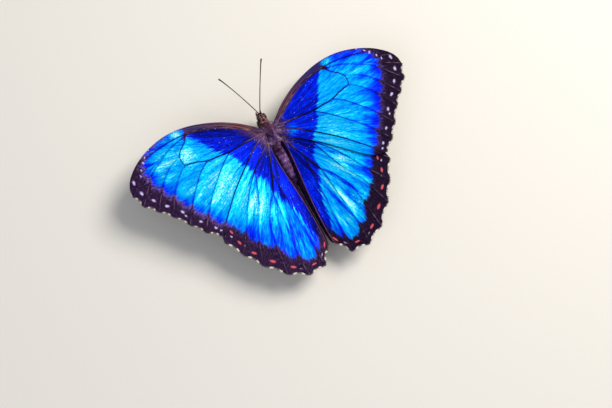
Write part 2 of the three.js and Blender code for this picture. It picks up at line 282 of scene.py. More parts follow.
def wing_wall(middle, half):
    """A closed wall round rings of points about a hub: the rings moved half a thickness along
    their normal, the cross product of their steps outwards and along, to either side, with a fan
    to the hub on both sides and an edge round the last ring. Returns the points, and the faces of
    the upper side, the under side and the edge."""
    rows, columns = middle.shape[:2]
    across = np.roll(middle, -1, axis=1) - np.roll(middle, 1, axis=1)
    normal = unit(np.cross(np.gradient(middle, axis=0), across), 1e-12)
    upper, under = middle + normal * half, middle - normal * half
    points = np.vstack([upper.reshape(-1, 3), under.reshape(-1, 3), upper[0].mean(0), under[0].mean(0)])
    index = np.arange(rows * columns).reshape(rows, columns)
    index = np.hstack([index, index[:, :1]])
    quads = np.stack([index[:-1, :-1], index[1:, :-1], index[1:, 1:], index[:-1, 1:]], axis=-1)
    quads = quads.reshape(-1, 4)
    size = rows * columns
    fan = np.stack([np.full(columns, 2 * size), index[0, :-1], index[0, 1:]], axis=-1)
    below = np.stack([np.full(columns, 2 * size + 1), index[0, 1:] + size, index[0, :-1] + size], axis=-1)
    rim = index[-1, ::-1]
    edge = np.stack([rim[:-1], rim[1:], rim[1:] + size, rim[:-1] + size], axis=-1)
    return points, [quads, fan, quads[:, ::-1] + size, below, edge]


def mesh_piece(name, points, faces, materials, marks=None, uv=None):
    """A mesh from points in millimetres and blocks of faces, with one material for all or one for
    each block, marks of one or three values at each point, and OFBake coordinates for the corners
    of each block."""
    finishes = list(dict.fromkeys(materials))
    slots = [finishes.index(material) for material in materials * (len(faces) // len(materials))]
    mesh = bpy.data.meshes.new(name)
    corners = np.concatenate([block.ravel() for block in faces])
    totals = np.concatenate([np.full(len(block), block.shape[1]) for block in faces])
    starts = np.concatenate([[0], np.cumsum(totals)[:-1]])
    slots = np.repeat(slots, [len(block) for block in faces])
    mesh.vertices.add(len(points))
    mesh.loops.add(len(corners))
    mesh.polygons.add(len(totals))
    mesh.vertices.foreach_set("co", placed(points).astype(np.float32).ravel())
    mesh.loops.foreach_set("vertex_index", corners.astype(np.int32))
    mesh.polygons.foreach_set("loop_start", starts.astype(np.int32))
    mesh.polygons.foreach_set("material_index", slots.astype(np.int32))
    mesh.polygons.foreach_set("use_smooth", np.full(len(totals), True))
    mesh.update(calc_edges=True)
    for key, value in (marks or {}).items():
        kind, field = ("FLOAT", "value") if value.ndim == 1 else ("FLOAT_VECTOR", "vector")
        mark = mesh.attributes.new(key, kind, "POINT")
        mark.data.foreach_set(field, value.astype(np.float32).ravel())
    if uv is not None:
        places = np.concatenate([block.reshape(-1, 2) for block in uv])
        mesh.uv_layers.new(name="OFBake").data.foreach_set("uv", places.astype(np.float32).ravel())
    for material in finishes:
        mesh.materials.append(material)
    piece = bpy.data.objects.new(name, mesh)
    bpy.context.collection.objects.link(piece)
    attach(piece, "root")
    return piece


def blobs(points, places):
    """How far inside the nearest of some ovals a point is: 1 at a centre, 0 on the outline.
    Each oval is its centre, half length, half width and heading in degrees."""
    best = np.full(points.shape[:-1], -9.0)
    for x, y, long, wide, heading in places:
        cosine, sine = math.cos(math.radians(heading)), math.sin(math.radians(heading))
        ahead = (points[..., 0] - x) * cosine + (points[..., 1] - y) * sine
        aside = (points[..., 1] - y) * cosine - (points[..., 0] - x) * sine
        best = np.maximum(best, 1 - np.hypot(ahead / long, aside / wide))
    return best


def soft_step(value, low, high):
    """0 below low, 1 above high, and a smooth cubic between."""
    t = np.clip((value - low) / (high - low), 0, 1)
    return t * t * (3 - 2 * t)


def wing_surface(side, hub, outline, height, veins):
    """Plan places hub + share * (outline - hub), with shares close together near the edge, and
    the heights there: the wing's own height plus its pleats, which fade out towards the root."""
    shares = [[0.006], np.linspace(0.03, 0.78, 42, endpoint=False), np.linspace(0.78, 1, 35)]
    shares = np.concatenate(shares)
    flat = hub + shares[:, None, None] * (outline - hub)
    if side > 0:
        flat = flat[:, ::-1]
    fade = soft_step(np.linalg.norm(flat, axis=2), 4, 10)
    level = height(flat) + fade * pleats(flat, veins)
    half = MEMBRANE_HALF + (MEMBRANE_RIM - MEMBRANE_HALF) * soft_step(shares, 0.7, 1)[:, None, None]
    return flat, level, half


def raised(side, flat, level):
    """Plan places put on one side of the animal and raised to a level: (side * x, y, level)."""
    return np.stack(np.broadcast_arrays(side * flat[..., 0], flat[..., 1], level), axis=-1)


def wing_place(flat, outline):
    """A point's place on the wing's unwrap: its plan, scaled into the left half of the square."""
    low, high = outline.min(0), outline.max(0)
    return (flat - low) / (high - low) * (0.46, 0.94) + (0.02, 0.02)


def wing_piece(name, side, hub, outline, height, veins, marks):
    """A wing as a closed wall round its surface. marks(flat) gives its markings by name."""
    flat, level, half = wing_surface(side, hub, outline, height, veins)
    points, faces = wing_wall(raised(side, flat, level), half)
    place = wing_place(flat.reshape(-1, 2), outline)
    spread = np.vstack([place, place + (0.5, 0), place[:1], place[:1] + (0.5, 0)])
    edge = np.arange(len(faces[4]))[:, None] / len(faces[4])
    strip = np.stack([edge + np.array([0, 1, 1, 0]) / len(faces[4]),
                      np.broadcast_to([0.98, 0.98, 0.99, 0.99], (len(edge), 4))], axis=-1)
    grids = {}
    for key, value in marks(flat).items():
        grid = value.reshape(len(place), -1)
        grids[key] = np.vstack([grid, grid, grid[:1], grid[:1]])
    finishes = [blue_scales, blue_scales, brown_scales, brown_scales, vein_cuticle]
    maps = [spread[block] for block in faces[:4]] + [strip]
    return mesh_piece(name, points, faces, finishes, grids, maps)


def outward(points, faces, maps=None):
    """Turns the faces round, and their map corners with them, if the volume that they close,
    the sum of a . (b x c) / 6, is negative."""
    volume = 0
    for block in faces:
        for second in range(1, block.shape[1] - 1):
            a, b, c = points[block[:, 0]], points[block[:, second]], points[block[:, second + 1]]
            volume += np.einsum("ij,ij->", a, np.cross(b, c))
    turn = 1 if volume > 0 else -1
    return [block[:, ::turn] for block in faces], [block[:, ::turn] for block in maps or []]


def closed_rings(grid):
    """The skin over rings of points, one in each row, with a fan to a middle point at both ends,
    and its unwrap: round the ring across, and from ring to ring up."""
    rows, columns = grid.shape[:2]
    points = np.vstack([grid.reshape(-1, 3), grid[0].mean(0), grid[-1].mean(0)])
    wide = np.arange(rows * (columns + 1)).reshape(rows, columns + 1)
    places = np.meshgrid(np.linspace(0, 1, columns + 1), np.linspace(0.02, 0.98, rows))
    places = np.vstack([np.stack(places, axis=-1).reshape(-1, 2), [[0.5, 0.002]], [[0.5, 0.998]]])
    quads = np.stack([wide[:-1, :-1], wide[:-1, 1:], wide[1:, 1:], wide[1:, :-1]], axis=-1)
    quads = quads.reshape(-1, 4)
    first = np.stack([np.full(columns, wide.size), wide[0, 1:], wide[0, :-1]], axis=-1)
    last = np.stack([np.full(columns, wide.size + 1), wide[-1, :-1], wide[-1, 1:]], axis=-1)
    corners = [quads, np.vstack([first, last])]
    index = np.arange(rows * columns).reshape(rows, columns)
    index = np.append(np.hstack([index, index[:, :1]]).ravel(), [rows * columns, rows * columns + 1])
    faces, maps = [index[block] for block in corners], [places[block] for block in corners]
    return points, *outward(points, faces, maps)


def tube(path, radius, sides, flat=1.0):
    """Rings round a path: path + radius * (cos a * sideways + flat * sin a * up), where sideways
    is level and square to the path, and up is square to both."""
    along = unit(np.gradient(path, axis=0), 1e-12)
    guide = np.where(np.abs(along[:, 2:]) < 0.9, [0.0, 0.0, 1.0], [0.0, 1.0, 0.0])
    sideways = unit(np.cross(along, guide))
    up = np.cross(sideways, along)
    angle = np.linspace(0, 2 * np.pi, sides, endpoint=False)[None, :, None]
    reach = np.broadcast_to(radius, len(path))[:, None, None]
    ring = np.cos(angle) * sideways[:, None] + flat * np.sin(angle) * up[:, None]
    return closed_rings(path[:, None] + reach * ring)


def joined(parts):
    """Several (points, faces) made one: each part's corner numbers moved past the last's."""
    offset = np.cumsum([0] + [len(points) for points, _ in parts])
    blocks = zip(*[[block + start for block in faces] for (_, faces), start in zip(parts, offset)])
    return np.vstack([points for points, _ in parts]), [np.vstack(block) for block in blocks]


def veins_piece(name, side, height, veins, girth, blue):
    """The veins as flat tubes half sunk in the membrane, thick at the root and thin at the edge,
    each with its own girth."""
    parts, marks = [], []
    under = (np.arange(VEIN_SIDES) > VEIN_SIDES / 2) * 1.0
    for vein, line in veins.items():
        flat = smooth_line(line, 60)
        reach = np.linalg.norm(flat, axis=1)
        path = raised(side, flat, height(flat) + PLEAT_RISE * soft_step(reach, 4, 10))
        radius = girth.get(vein, VEIN_GIRTH) * np.interp(reach, VEIN_REACH, VEIN_RADII)
        radius[-1] *= 0.3
        parts.append(tube(path, radius, VEIN_SIDES, 0.7)[:2])
        past = area_distance(flat, blue)
        ring = np.stack(np.broadcast_arrays(reach[:, None], past[:, None], under), axis=-1)
        marks += [ring.reshape(-1, 3), ring[[0, -1], 0]]
    points, faces = joined(parts)
    return mesh_piece(name, points, faces, [vein_cuticle], {"vein": np.vstack(marks)})


# Blue upper scales: transparent plates whose stacked ridges send back blue. Nothing in them is
# a blue dye, so the colour is deep and satiny, with streaks along the scale rows.
FOREWING_BLUE = [(3, 0.2), (10, 4.6), (15, 7.8), (20, 10.1), (25, 11.6), (30, 12.6), (31.6, 14.6),
                 (36, 15.2), (40, 14.6), (45, 12.9), (48.5, 11.2), (50.5, 9), (51.8, 6.5), (52.3, 3.8),
                 (51.3, 0.8), (49.5, -3), (47.5, -6.5), (45.3, -9.5), (43.4, -13), (40.8, -17),
                 (38.3, -20.5), (36.3, -23.5), (34.3, -26.3), (31.5, -28.5), (30, -33), (10, -20),
                 (-3, -8), (-3, 0)]
FOREWING_DEEP = [(1, 0), (10, 6), (20, 12), (29.5, 13), (26.4, 8), (24.4, 4), (22.2, 0.5), (19.6, -3),
                 (17, -6.5), (15, -9.5), (12, -12), (1, -8)]
FOREWING_SPOTS = [(57.3, 3.4, 1.2, 0.62, 95), (56.5, -1.8, 1.15, 0.66, 80), (53.6, -6.3, 1.0, 0.6, 62),
                  (50, -10.7, 1.05, 0.6, 38), (45.8, -15.4, 1.0, 0.6, 66), (45.3, -17.4, 0.7, 0.4, 60),
                  (41.2, -22, 0.9, 0.55, 50), (37.2, -26.8, 0.8, 0.55, 60), (35.8, -28.6, 0.6, 0.45, 40),
                  (50.6, 9.0, 1.0, 0.5, 70), (52.6, 6.6, 0.8, 0.35, 80), (46.6, 12.8, 0.7, 0.35, -30),
                  (49.2, 10.6, 0.7, 0.3, -50), (53.8, 4.6, 0.8, 0.3, 85), (50.6, 3.0, 0.7, 0.3, 75),
                  (49.4, -1.4, 0.7, 0.3, 65), (47.0, -6.0, 0.6, 0.25, 60)]
FOREWING_SMUDGES = [(31.4, 11.8, 2.6, 0.9, -38)]
# Patches of painted highlight, and of painted shade where the strength is below 0, for how the light falls
# on each forewing: place, reach and strength.
FOREWING_PAINTED_LIGHT = {-1: [(27, -13, 9, 0.64), (34, 4, 4.4, 0.8), (42, 6, 7, 0.45), (36, -12, 7, 0.4),
                      (45, 1, 4, 0.35), (34.5, 14.0, 2.4, 1.6), (40, 13.4, 4, 0.2), (28, 6, 3, -0.35)],
                 1: [(22, -15, 8, 0.4), (33.4, 14.0, 2.2, 1.0), (7.8, -5, 2.6, 0.9), (33, -3, 14, 0.1),
                     (44, -8, 5, -0.75), (47, 1, 5, -0.3), (37, -18, 4, -0.6), (40, 13.4, 4, -0.3)]}
# The deep part's lobe differs on each side: a difference painted for how the light falls on each wing.
FOREWING_LOBE = {-1: (19.5, -4.5, 3, -1.6), 1: (18, -7.5, 4, 1.4)}  # the deep part gives way, or bulges
BASAL_LIMIT = 31                  # how far out the forewing's deep root part reaches
GLOOM = {-1: 0.12, 1: 0.6}        # how dark the edge looks from its tilt to the light
UNDER_EYES = [(47, 2.5, 2.6), (44.5, -6.5, 2.0), (39.5, -12, 2.9), (34, -18.2, 3.3)]
UNDER_BARS = [(14, 3.2, 3.2, 0.7, 70), (22, 4.8, 4.6, 0.9, 75), (30, 6.6, 4.6, 0.9, 80),
              (37, 9, 3.2, 0.8, 60), (12, -5, 3.5, 0.6, 60), (30, -14, 9, 0.9, 62)]
EYE_RINGS = [(0.0, "#f4f1ea"), (0.1, "#120d10"), (0.42, "#120d10"), (0.46, "#c99a35"), (0.68, "#d8b056"),
             (0.72, "#241616"), (0.86, "#2c1b19"), (0.9, "#b9a487"), (1.0, "#4f3a2d")]

blue_scales, tree, shader = new_material("morpho wing scales, blue above")
mark, tone, cast, lie = [add(tree, "Attribute", out="Vector", attribute_name=name)
                         for name in ("mark", "tone", "cast", "lie")]
field, spot, dash = add(tree, "SeparateXYZ", mark).node.outputs
deep, painted_light, costa = add(tree, "SeparateXYZ", tone).node.outputs
gloom, shore, folds = add(tree, "SeparateXYZ", cast).node.outputs
_, radial, beside = add(tree, "SeparateXYZ", lie).node.outputs

# The lie is in millimetres, so its factors are streaks to the millimetre, across and along. The
# real rows lie about ten to the millimetre, and are drawn coarser, to show.
rows = add(tree, "VectorMath", lie, (2.4, 0.28, 0), operation="MULTIPLY")
streak = add(tree, "TexNoise", Vector=rows, Scale=1.0, Detail=3.0, Roughness=0.6)
broad = add(tree, "VectorMath", lie, (0.5, 0.035, 0), operation="MULTIPLY")
sweep = add(tree, "TexNoise", Vector=broad, Scale=1.0, Detail=2.0)
hairs = add(tree, "VectorMath", lie, (7.0, 0.8, 0), operation="MULTIPLY")
fine = add(tree, "TexNoise", Vector=hairs, Scale=1.0, Detail=2.0)
where = add(tree, "TexCoord", out="Object")
glint = add(tree, "TexNoise", Vector=where, Scale=1.5 / MM, Detail=2.0, Roughness=0.7)

# Where the blue ends: at the outline, drawn out along the veins and frayed by the scale rows.
wedge = add(tree, "MapRange", beside, 1.2, 0.1)
inward = add(tree, "MapRange", field, -7.0, 0.0, 0.0, 1.5)
ragged = field
for amount, share in [(wedge, inward), (streak, 5.0), (fine, 1.2)]:
    ragged = add(tree, "Math", amount, share, ragged, operation="MULTIPLY_ADD")
ragged = add(tree, "Math", ragged, 3.1, operation="SUBTRACT")
margin = add(tree, "MapRange", ragged, -0.5, 0.9, interpolation_type="SMOOTHSTEP")

# How bright it is: less near its end, in the deep root part, in the left forewing's painted shade by the
# front edge, and beside veins, lighter and darker in the painted sheen and shade of the folds, more in
# patches of painted highlight and less in patches of painted shade, with streaks and a grain of painted
# glints.
near = add(tree, "MapRange", ragged, -5.0, 0.5, 0.0, 0.36, interpolation_type="SMOOTHSTEP")
near = add(tree, "Math", near, shore, operation="MULTIPLY")
patchy = add(tree, "Math", streak, 0.9, -0.45, operation="MULTIPLY_ADD")
patchy = add(tree, "Math", sweep, 0.7, patchy, operation="MULTIPLY_ADD")
broken = add(tree, "Math", patchy, -1.1, deep, operation="MULTIPLY_ADD")
broken = add(tree, "Math", broken, 0.385, operation="ADD")
depth = add(tree, "MapRange", broken, 0.22, 0.78, 0.0, 0.47, interpolation_type="SMOOTHSTEP")
# The part of deep above 1: painted shade on the left forewing near its front edge.
painted_dusk = add(tree, "Math", deep, 1.0, operation="SUBTRACT", use_clamp=True)
# Painted sheen and shade of the folds: broad streaks lighter and darker, stronger on the right hindwing.
crease = add(tree, "MapRange", sweep, 0.3, 0.7, -0.42, 0.3)
beside_vein = add(tree, "MapRange", beside, 0.6, 0.1, 0.0, 0.16)
# The painted glints are stronger in the patches of painted highlight.
shine = add(tree, "Math", painted_light, 1.1, 0.25, operation="MULTIPLY_ADD", use_clamp=True)
sparkle = add(tree, "Math", glint, 0.5, operation="SUBTRACT")
level = 0.24
for amount, share in [(painted_light, 0.36), (patchy, 1.0), (depth, -1.0), (near, -1.0), (painted_dusk, -0.5),
                      (crease, folds), (beside_vein, -1.0), (sparkle, shine)]:
    level = add(tree, "Math", amount, share, level, operation="MULTIPLY_ADD")
level = add(tree, "MapRange", level, -0.25, 1.0)
blue = add(tree, "ValToRGB", level, stops=[
    (0.0, "#04083c"), (0.2, "#050f7a"), (0.3, "#0318c8"), (0.4, "#0226ff"), (0.51, "#0150ff"),
    (0.6, "#0180ff"), (0.68, "#01a2ff"), (0.79, "#0cc4ff"), (0.9, "#5ee2ff"), (1.0, "#c4f8ff")])

# Pale flecks on the deep part, partly worn scales and partly painted glints. They are drawn larger than the
# real ones, to show.
wear_and_glint = add(tree, "TexNoise", Vector=where, Scale=2.6 / MM, Detail=0.0)
wear_and_glint = add(tree, "MapRange", wear_and_glint, 0.8, 0.84, 0.0, 0.7)
wear_and_glint = add(tree, "Math", wear_and_glint, deep, operation="MULTIPLY", use_clamp=True)
blue = add(tree, "Mix", wear_and_glint, blue, "#b4bcff", data_type="RGBA")

# The dark outer part, and the brown rail along the front edge, which turns violet outwards.
costal = add(tree, "CombineXYZ", costa, radial)
costal = add(tree, "VectorMath", costal, (2.3, 0.05, 0), operation="MULTIPLY")
lines = add(tree, "TexNoise", Vector=costal, Scale=1.0, Detail=2.0)
dusk = add(tree, "ValToRGB", fine, stops=[
    (0.3, "#170b24"), (0.5, "#2a173a"), (0.66, "#4a3057"), (0.8, "#7b5f8c")])
rail = add(tree, "ValToRGB", lines, stops=[
    (0.34, "#2a141c"), (0.48, "#563440"), (0.58, "#88594f"), (0.7, "#ab8672")])
# Painted shade: gloom darkens the dark part and turns the rail violet on the wing tilted from the lamp.
dusk = add(tree, "Mix", gloom, dusk, "#0c0614", data_type="RGBA")
violet = add(tree, "MapRange", radial, 12.0, 30.0, 0.0, 0.8)
violet = add(tree, "Math", gloom, 0.4, violet, operation="MULTIPLY_ADD", use_clamp=True)
rail = add(tree, "Mix", violet, rail, "#2c2862", data_type="RGBA")
band = add(tree, "MapRange", costa, 3.2, 2.0)
dark = add(tree, "Mix", band, dusk, rail, data_type="RGBA")

# On the dark part: lilac dust along the blue, pale spots, and red dashes.
dust = add(tree, "MapRange", ragged, 2.4, 0.8)
dusty = add(tree, "MapRange", fine, 0.46, 0.58)
dust = add(tree, "Math", dust, dusty, operation="MULTIPLY")
# The lilac dust is fainter where gloom paints shade.
dusty = add(tree, "Math", gloom, -0.9, shore, operation="MULTIPLY_ADD")
dust = add(tree, "Math", dust, dusty, operation="MULTIPLY", use_clamp=True)
dark = add(tree, "Mix", dust, dark, "#9b7be0", data_type="RGBA")
for shape, fray, start, end, colour in [(spot, 1.2, 0.6, 1.1, "#c6baec"),
                                        (dash, 0.7, 0.3, 0.75, "#cf5762")]:
    frayed = add(tree, "Math", fine, fray, shape, operation="MULTIPLY_ADD")
    frayed = add(tree, "MapRange", frayed, start, end)
    dark = add(tree, "Mix", frayed, dark, colour, data_type="RGBA")
paint = add(tree, "Mix", margin, blue, dark, data_type="RGBA")

# The root has few scales, and on the left painted brown shade lies over the front part next to it.
bare = add(tree, "Math", streak, -3.0, radial, operation="MULTIPLY_ADD")
bare = add(tree, "MapRange", bare, 5.0, 1.0, interpolation_type="SMOOTHSTEP")
paint = add(tree, "Mix", bare, paint, "#33264f", data_type="RGBA")
painted_root_shade = add(tree, "Math", streak, -6.0, radial, operation="MULTIPLY_ADD")
painted_root_shade = add(tree, "MapRange", painted_root_shade, 10.0, 4.0)
front_most = add(tree, "MapRange", painted_dusk, 0.3, 0.42, 0.0, 0.7)
painted_root_shade = add(tree, "Math", painted_root_shade, front_most, operation="MULTIPLY")
paint = add(tree, "Mix", painted_root_shade, paint, "#54303e", data_type="RGBA")
beam = add(tree, "MapRange", margin, 0.0, 1.0, 0.4, 0.0)
scale_bump = add(tree, "Math", fine, glint, operation="ADD")
bump = add(tree, "Bump", Height=scale_bump, Strength=0.5, Distance=0.06 * MM)
set_surface(shader, paint, bump, 0.42, 0.02)
feed([shader.inputs["Metallic"]], [beam])

# Brown under scales: plain pigment, matt, with ringed eyes, cream bars and lines along the edge.
# The rows are drawn three to the millimetre, a third as close as the real ones, to show.
brown_scales, tree, shader = new_material("morpho wing scales, brown below")
below = add(tree, "Attribute", out="Vector", attribute_name="below")
eye, bar, edge = add(tree, "SeparateXYZ", below).node.outputs
lie = add(tree, "Attribute", out="Vector", attribute_name="lie")
rows = add(tree, "VectorMath", lie, (3.0, 0.6, 0), operation="MULTIPLY")
streak = add(tree, "TexNoise", Vector=rows, Scale=1.0, Detail=4.0, Roughness=0.65)
ground = add(tree, "ValToRGB", streak, stops=[
    (0.25, "#2c1e1a"), (0.45, "#4d372b"), (0.6, "#6b4f3d"), (0.78, "#8a6c52")])
lines = add(tree, "Math", edge, 2.1, operation="MULTIPLY")
lines = add(tree, "Math", lines, operation="SINE")
lines = add(tree, "Math", streak, 1.6, lines, operation="MULTIPLY_ADD")
lines = add(tree, "MapRange", lines, 1.3, 1.7)
outer = add(tree, "MapRange", edge, 4.8, 4.2)
lines = add(tree, "Math", lines, outer, operation="MULTIPLY")
ground = add(tree, "Mix", lines, ground, "#b7a084", data_type="RGBA")
bars = add(tree, "Math", streak, 0.9, bar, operation="MULTIPLY_ADD")
for start, end, colour in ((0.1, 0.4, "#241815"), (0.42, 0.8, "#c9b899")):
    inside = add(tree, "MapRange", bars, start, end)
    ground = add(tree, "Mix", inside, ground, colour, data_type="RGBA")
rings = add(tree, "ValToRGB", eye, stops=EYE_RINGS)
inside = add(tree, "MapRange", eye, 1.0, 0.96)
ground = add(tree, "Mix", inside, ground, rings, data_type="RGBA")
bump = add(tree, "Bump", Height=streak, Strength=0.5, Distance=0.06 * MM)
set_surface(shader, ground, bump, 0.75, 0.2)

# The veins: hollow dark tubes of cuticle, scaled over, paler where they cross the dark edge and glossy at
# the root, with worn patches
# 2 or 3 mm long, which near the root are pale partly from wear and partly as painted highlight of the
# gloss.
vein_cuticle, tree, shader = new_material("wing vein cuticle")
vein = add(tree, "Attribute", out="Vector", attribute_name="vein")
reach, past, under = add(tree, "SeparateXYZ", vein).node.outputs
where = add(tree, "TexCoord", out="Object")
patches = add(tree, "TexNoise", Vector=where, Scale=0.42 / MM, Detail=2.0)
wear_and_glint = add(tree, "MapRange", patches, 0.45, 0.7)
root_light = add(tree, "MapRange", reach, 15.0, 6.0)
dark = add(tree, "Mix", root_light, "#070a2b", "#35203a", data_type="RGBA")
# Near the root the pale patches are partly wear and partly painted highlight.
root_light = add(tree, "Math", root_light, wear_and_glint, operation="MULTIPLY")
dark = add(tree, "Mix", root_light, dark, "#75546a", data_type="RGBA")
beyond = add(tree, "MapRange", past, -1.5, 1.0)
pale = add(tree, "Mix", wear_and_glint, "#2b1833", "#85687d", data_type="RGBA")
upper = add(tree, "Mix", beyond, dark, pale, data_type="RGBA")
brown = add(tree, "Mix", wear_and_glint, "#4a3527", "#7d6148", data_type="RGBA")
paint = add(tree, "Mix", under, upper, brown, data_type="RGBA")
bump = add(tree, "Bump", Height=patches, Strength=0.3, Distance=0.05 * MM)
gloss = add(tree, "MapRange", reach, 14.0, 6.0, 0.06, 0.4)
set_surface(shader, paint, bump, 0.36, gloss)


def painted_light_at(points, patches):
    """The brightest of some soft patches of painted highlight, and the darkest of those with a strength
    below 0,
    which are painted shade: strength * exp(-(distance / reach) squared)."""
    bright, dark = np.zeros(points.shape[:-1]), np.zeros(points.shape[:-1])
    for x, y, reach, strength in patches:
        gap = np.hypot(points[..., 0] - x, points[..., 1] - y)
        patch = strength * np.exp(-(gap / reach) ** 2)
        bright, dark = np.maximum(bright, patch), np.minimum(dark, patch)
    return bright + dark


def eye_rank(points, eyes):
    """How far out in the nearest ringed eye: 0 at its centre, 1 on its rim."""
    ranks = [np.hypot(points[..., 0] - x, points[..., 1] - y) / radius for x, y, radius in eyes]
    return np.min(ranks, axis=0)


def scale_rows(points, hub, veins):
    """Where a scale lies: 30 mm times its bearing from the hub, its distance from there, and its
    distance from the nearest vein."""
    x, y = points[..., 0] - hub[0], points[..., 1] - hub[1]
    return 30 * np.arctan2(y, x), np.hypot(x, y), vein_distance(points, veins)


def layers(**rows):
    """Each named row of three layers as one vector for each point."""
    return {name: np.stack(np.broadcast_arrays(*row), axis=-1) for name, row in rows.items()}


forewing_front = smooth_line(FOREWING_FRONT, 160)
forewing_outline = evenly(np.vstack([
    forewing_front[:-1],
    scalloped(FOREWING_TIPS, FOREWING_SCALLOP, 16),
    smooth_line(FOREWING_HIND, 80)]), OUTLINE_POINTS)
forewing_blue = smooth_line(FOREWING_BLUE, 150)
forewing_deep = smooth_line(FOREWING_DEEP, 60)
forewing_edge = np.vstack([forewing_front, scalloped(FOREWING_TIPS, FOREWING_SCALLOP, 8)])


def forewing_marks(side):
    """The forewing's markings over its plan, as a function of the points."""
    def marks(flat):
        front = line_distance(flat, forewing_front)
        basal = flat[..., 0] < BASAL_LIMIT
        x, y, reach, bulge = FOREWING_LOBE[side]
        lobe = bulge * np.exp(-(np.hypot(flat[..., 0] - x, flat[..., 1] - y) / reach) ** 2)
        inside = lobe - area_distance(flat, forewing_deep)
        # Its edge is softer on the left: painted shade, different on each side.
        deep = soft_step(inside, -1.6, 1.5) if side > 0 else soft_step(inside, -3.5, 2.0)
        # Painted shade on the left forewing only: darker towards the front edge near the root.
        dusk = 0.42 * soft_step(11 - front, 0, 9) * basal if side < 0 else 0
        smudge = 4 * np.clip(blobs(flat, FOREWING_SMUDGES), 0, 1)
        run_off = 5 * soft_step(40 - flat[..., 0], 0, 18) * soft_step(flat[..., 1], -4, 0)
        outer = front + 1.2 + 2.5 * soft_step(flat[..., 0], 36, 46)
        return layers(
            mark=(area_distance(flat, forewing_blue) + smudge, blobs(flat, FOREWING_SPOTS), -9.0),
            tone=(deep + dusk * deep, painted_light_at(flat, FOREWING_PAINTED_LIGHT[side]), np.where(basal, front, outer)),
            lie=scale_rows(flat, FOREWING_ROOT, FOREWING_VEINS),
            cast=(GLOOM[side], 0.8 * soft_step(flat[..., 0], 26, 36), 0.0),
            below=(eye_rank(flat, UNDER_EYES), blobs(flat, UNDER_BARS),
                   line_distance(flat, forewing_edge) + run_off))
    return marks


SIDES = {"right": 1, "left": -1}
for word, side in SIDES.items():
    piece = wing_piece("wing_fore_" + word, side, FOREWING_HUB, forewing_outline, forewing_height,
                       FOREWING_VEINS, forewing_marks(side))
    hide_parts("forewing_" + word)
    piece = veins_piece("veins_fore_" + word, side, forewing_height, FOREWING_VEINS, FOREWING_GIRTH,
                        forewing_blue)


# ---- Hindwings ----------------------------------------------------------------------
# Of the same membrane, veins and scales, they lie just under the forewings and fan out behind.
# The inner part is folded down along a crease into a gutter that holds the abdomen.
HINDWING_DROP = 0.9
HINDWING_TRAIL = 0.02
HINDWING_HUB = (4.5, -6)
HINDWING_ROOT = (1.4, -3.6)
HINDWING_FRONT = [(1, -2.2), (8, -3.4), (18, -8.6), (28, -17.5), (35, -26.5), (36.9, -33)]
HINDWING_TIPS = [(36.9, -33), (32.6, -40.8), (27.6, -48.2), (20.8, -55.4), (13.2, -59.4),
                 (6, -58.8), (1.5, -52.6)]
HINDWING_CREASE = [(1.5, -52.6), (1.15, -47), (1.25, -38), (1.9, -28), (2.75, -18), (3.1, -11),
                   (2.7, -7), (1, -4.6)]
HINDWING_SCALLOP = 0.9
HINDWING_VEINS = {
    "radius": [(1.9, -3.7), (3.4, -4.4), (10, -8), (20, -15.5), (30, -25), (36.9, -33)],
    "cell": [(1.9, -3.9), (3.4, -4.8), (8, -8.5), (12.5, -12)],
    "median_1": [(12.5, -12), (20, -21), (26, -31), (30, -37), (32.6, -40.8)],
    "median_2": [(12.5, -12), (18, -26), (22, -33), (25, -40), (27.6, -48.2)],
    "cubitus": [(1.8, -4.4), (3.2, -5.6), (6, -13), (8.3, -19), (10.9, -24.3)],
    "median_3": [(10.9, -24.3), (15.5, -30), (18.5, -38), (20.8, -55.4)],
    "cubital_1": [(10.9, -24.3), (11.6, -32), (13, -45), (13.7, -52), (13.2, -59.4)],
    "cubital_2": [(7.4, -17), (7, -28), (6.7, -40), (6, -58.8)],
}
HINDWING_GIRTH = {"cubitus": 1.4, "radius": 1.2, "cell": 1.0}
HINDWING_BLUE = [(31.4, -27), (30, -30), (28.5, -33.3), (26.8, -36.5), (24.8, -39.5), (22, -41.8),
                 (20, -44), (17.5, -47.3), (16.3, -50), (13.5, -51.2), (12, -53), (8.8, -54.4),
                 (7, -53.4), (5.5, -51.8), (4.2, -49.5), (2.6, -47), (0.4, -43), (-4, -38), (-4, 0),
                 (10, 2), (26, -10), (34, -20)]
HINDWING_DEEP = [(0, -3), (8, -8), (13, -12), (10.4, -18), (9.2, -25), (6.2, -31), (4.6, -37), (3.2, -46),
                 (-3, -48), (-3, -4)]
HINDWING_DASHES = [(32.6, -30.8, 1.1, 0.45, 75), (31.7, -35.9, 1.2, 0.5, 70), (28.6, -42, 1.3, 0.55, 45),
                   (23.6, -48.2, 1.4, 0.6, 42), (17.5, -53.8, 1.3, 0.55, 32), (9.6, -56.4, 1.3, 0.4, -5),
                   (2.4, -51.4, 1.6, 0.35, -62)]
HINDWING_HAZE = [(33.4, -32.4, 1.0, 0.5, 60), (30.4, -37.8, 0.8, 0.3, 60), (15.2, -55.6, 0.8, 0.3, 30),
                 (5.2, -54.6, 1.4, 0.3, -55), (13.5, -56.4, 0.6, 0.3, 20)]
# Patches of painted highlight, and of painted shade where the strength is below 0, for how the light falls
# on each hindwing.
HINDWING_PAINTED_LIGHT = {-1: [(19, -25, 6, 0.75), (15, -30, 5, 0.6), (9, -46, 11, -0.65), (10.5, -27, 3, -0.5),
                      (7, -23, 2.5, 0.3), (25, -36, 4, -0.8), (5, -12, 6, -0.4)],
                 1: [(19, -25, 5, 0.6), (16, -32, 5, 0.35), (8, -50, 4, -0.4), (8, -14, 8, -0.2),
                     (18.5, -42, 4, 0.8), (28.5, -32, 2.5, -0.6), (12.5, -47, 3, 0.3), (5, -29, 5, 0.3)]}
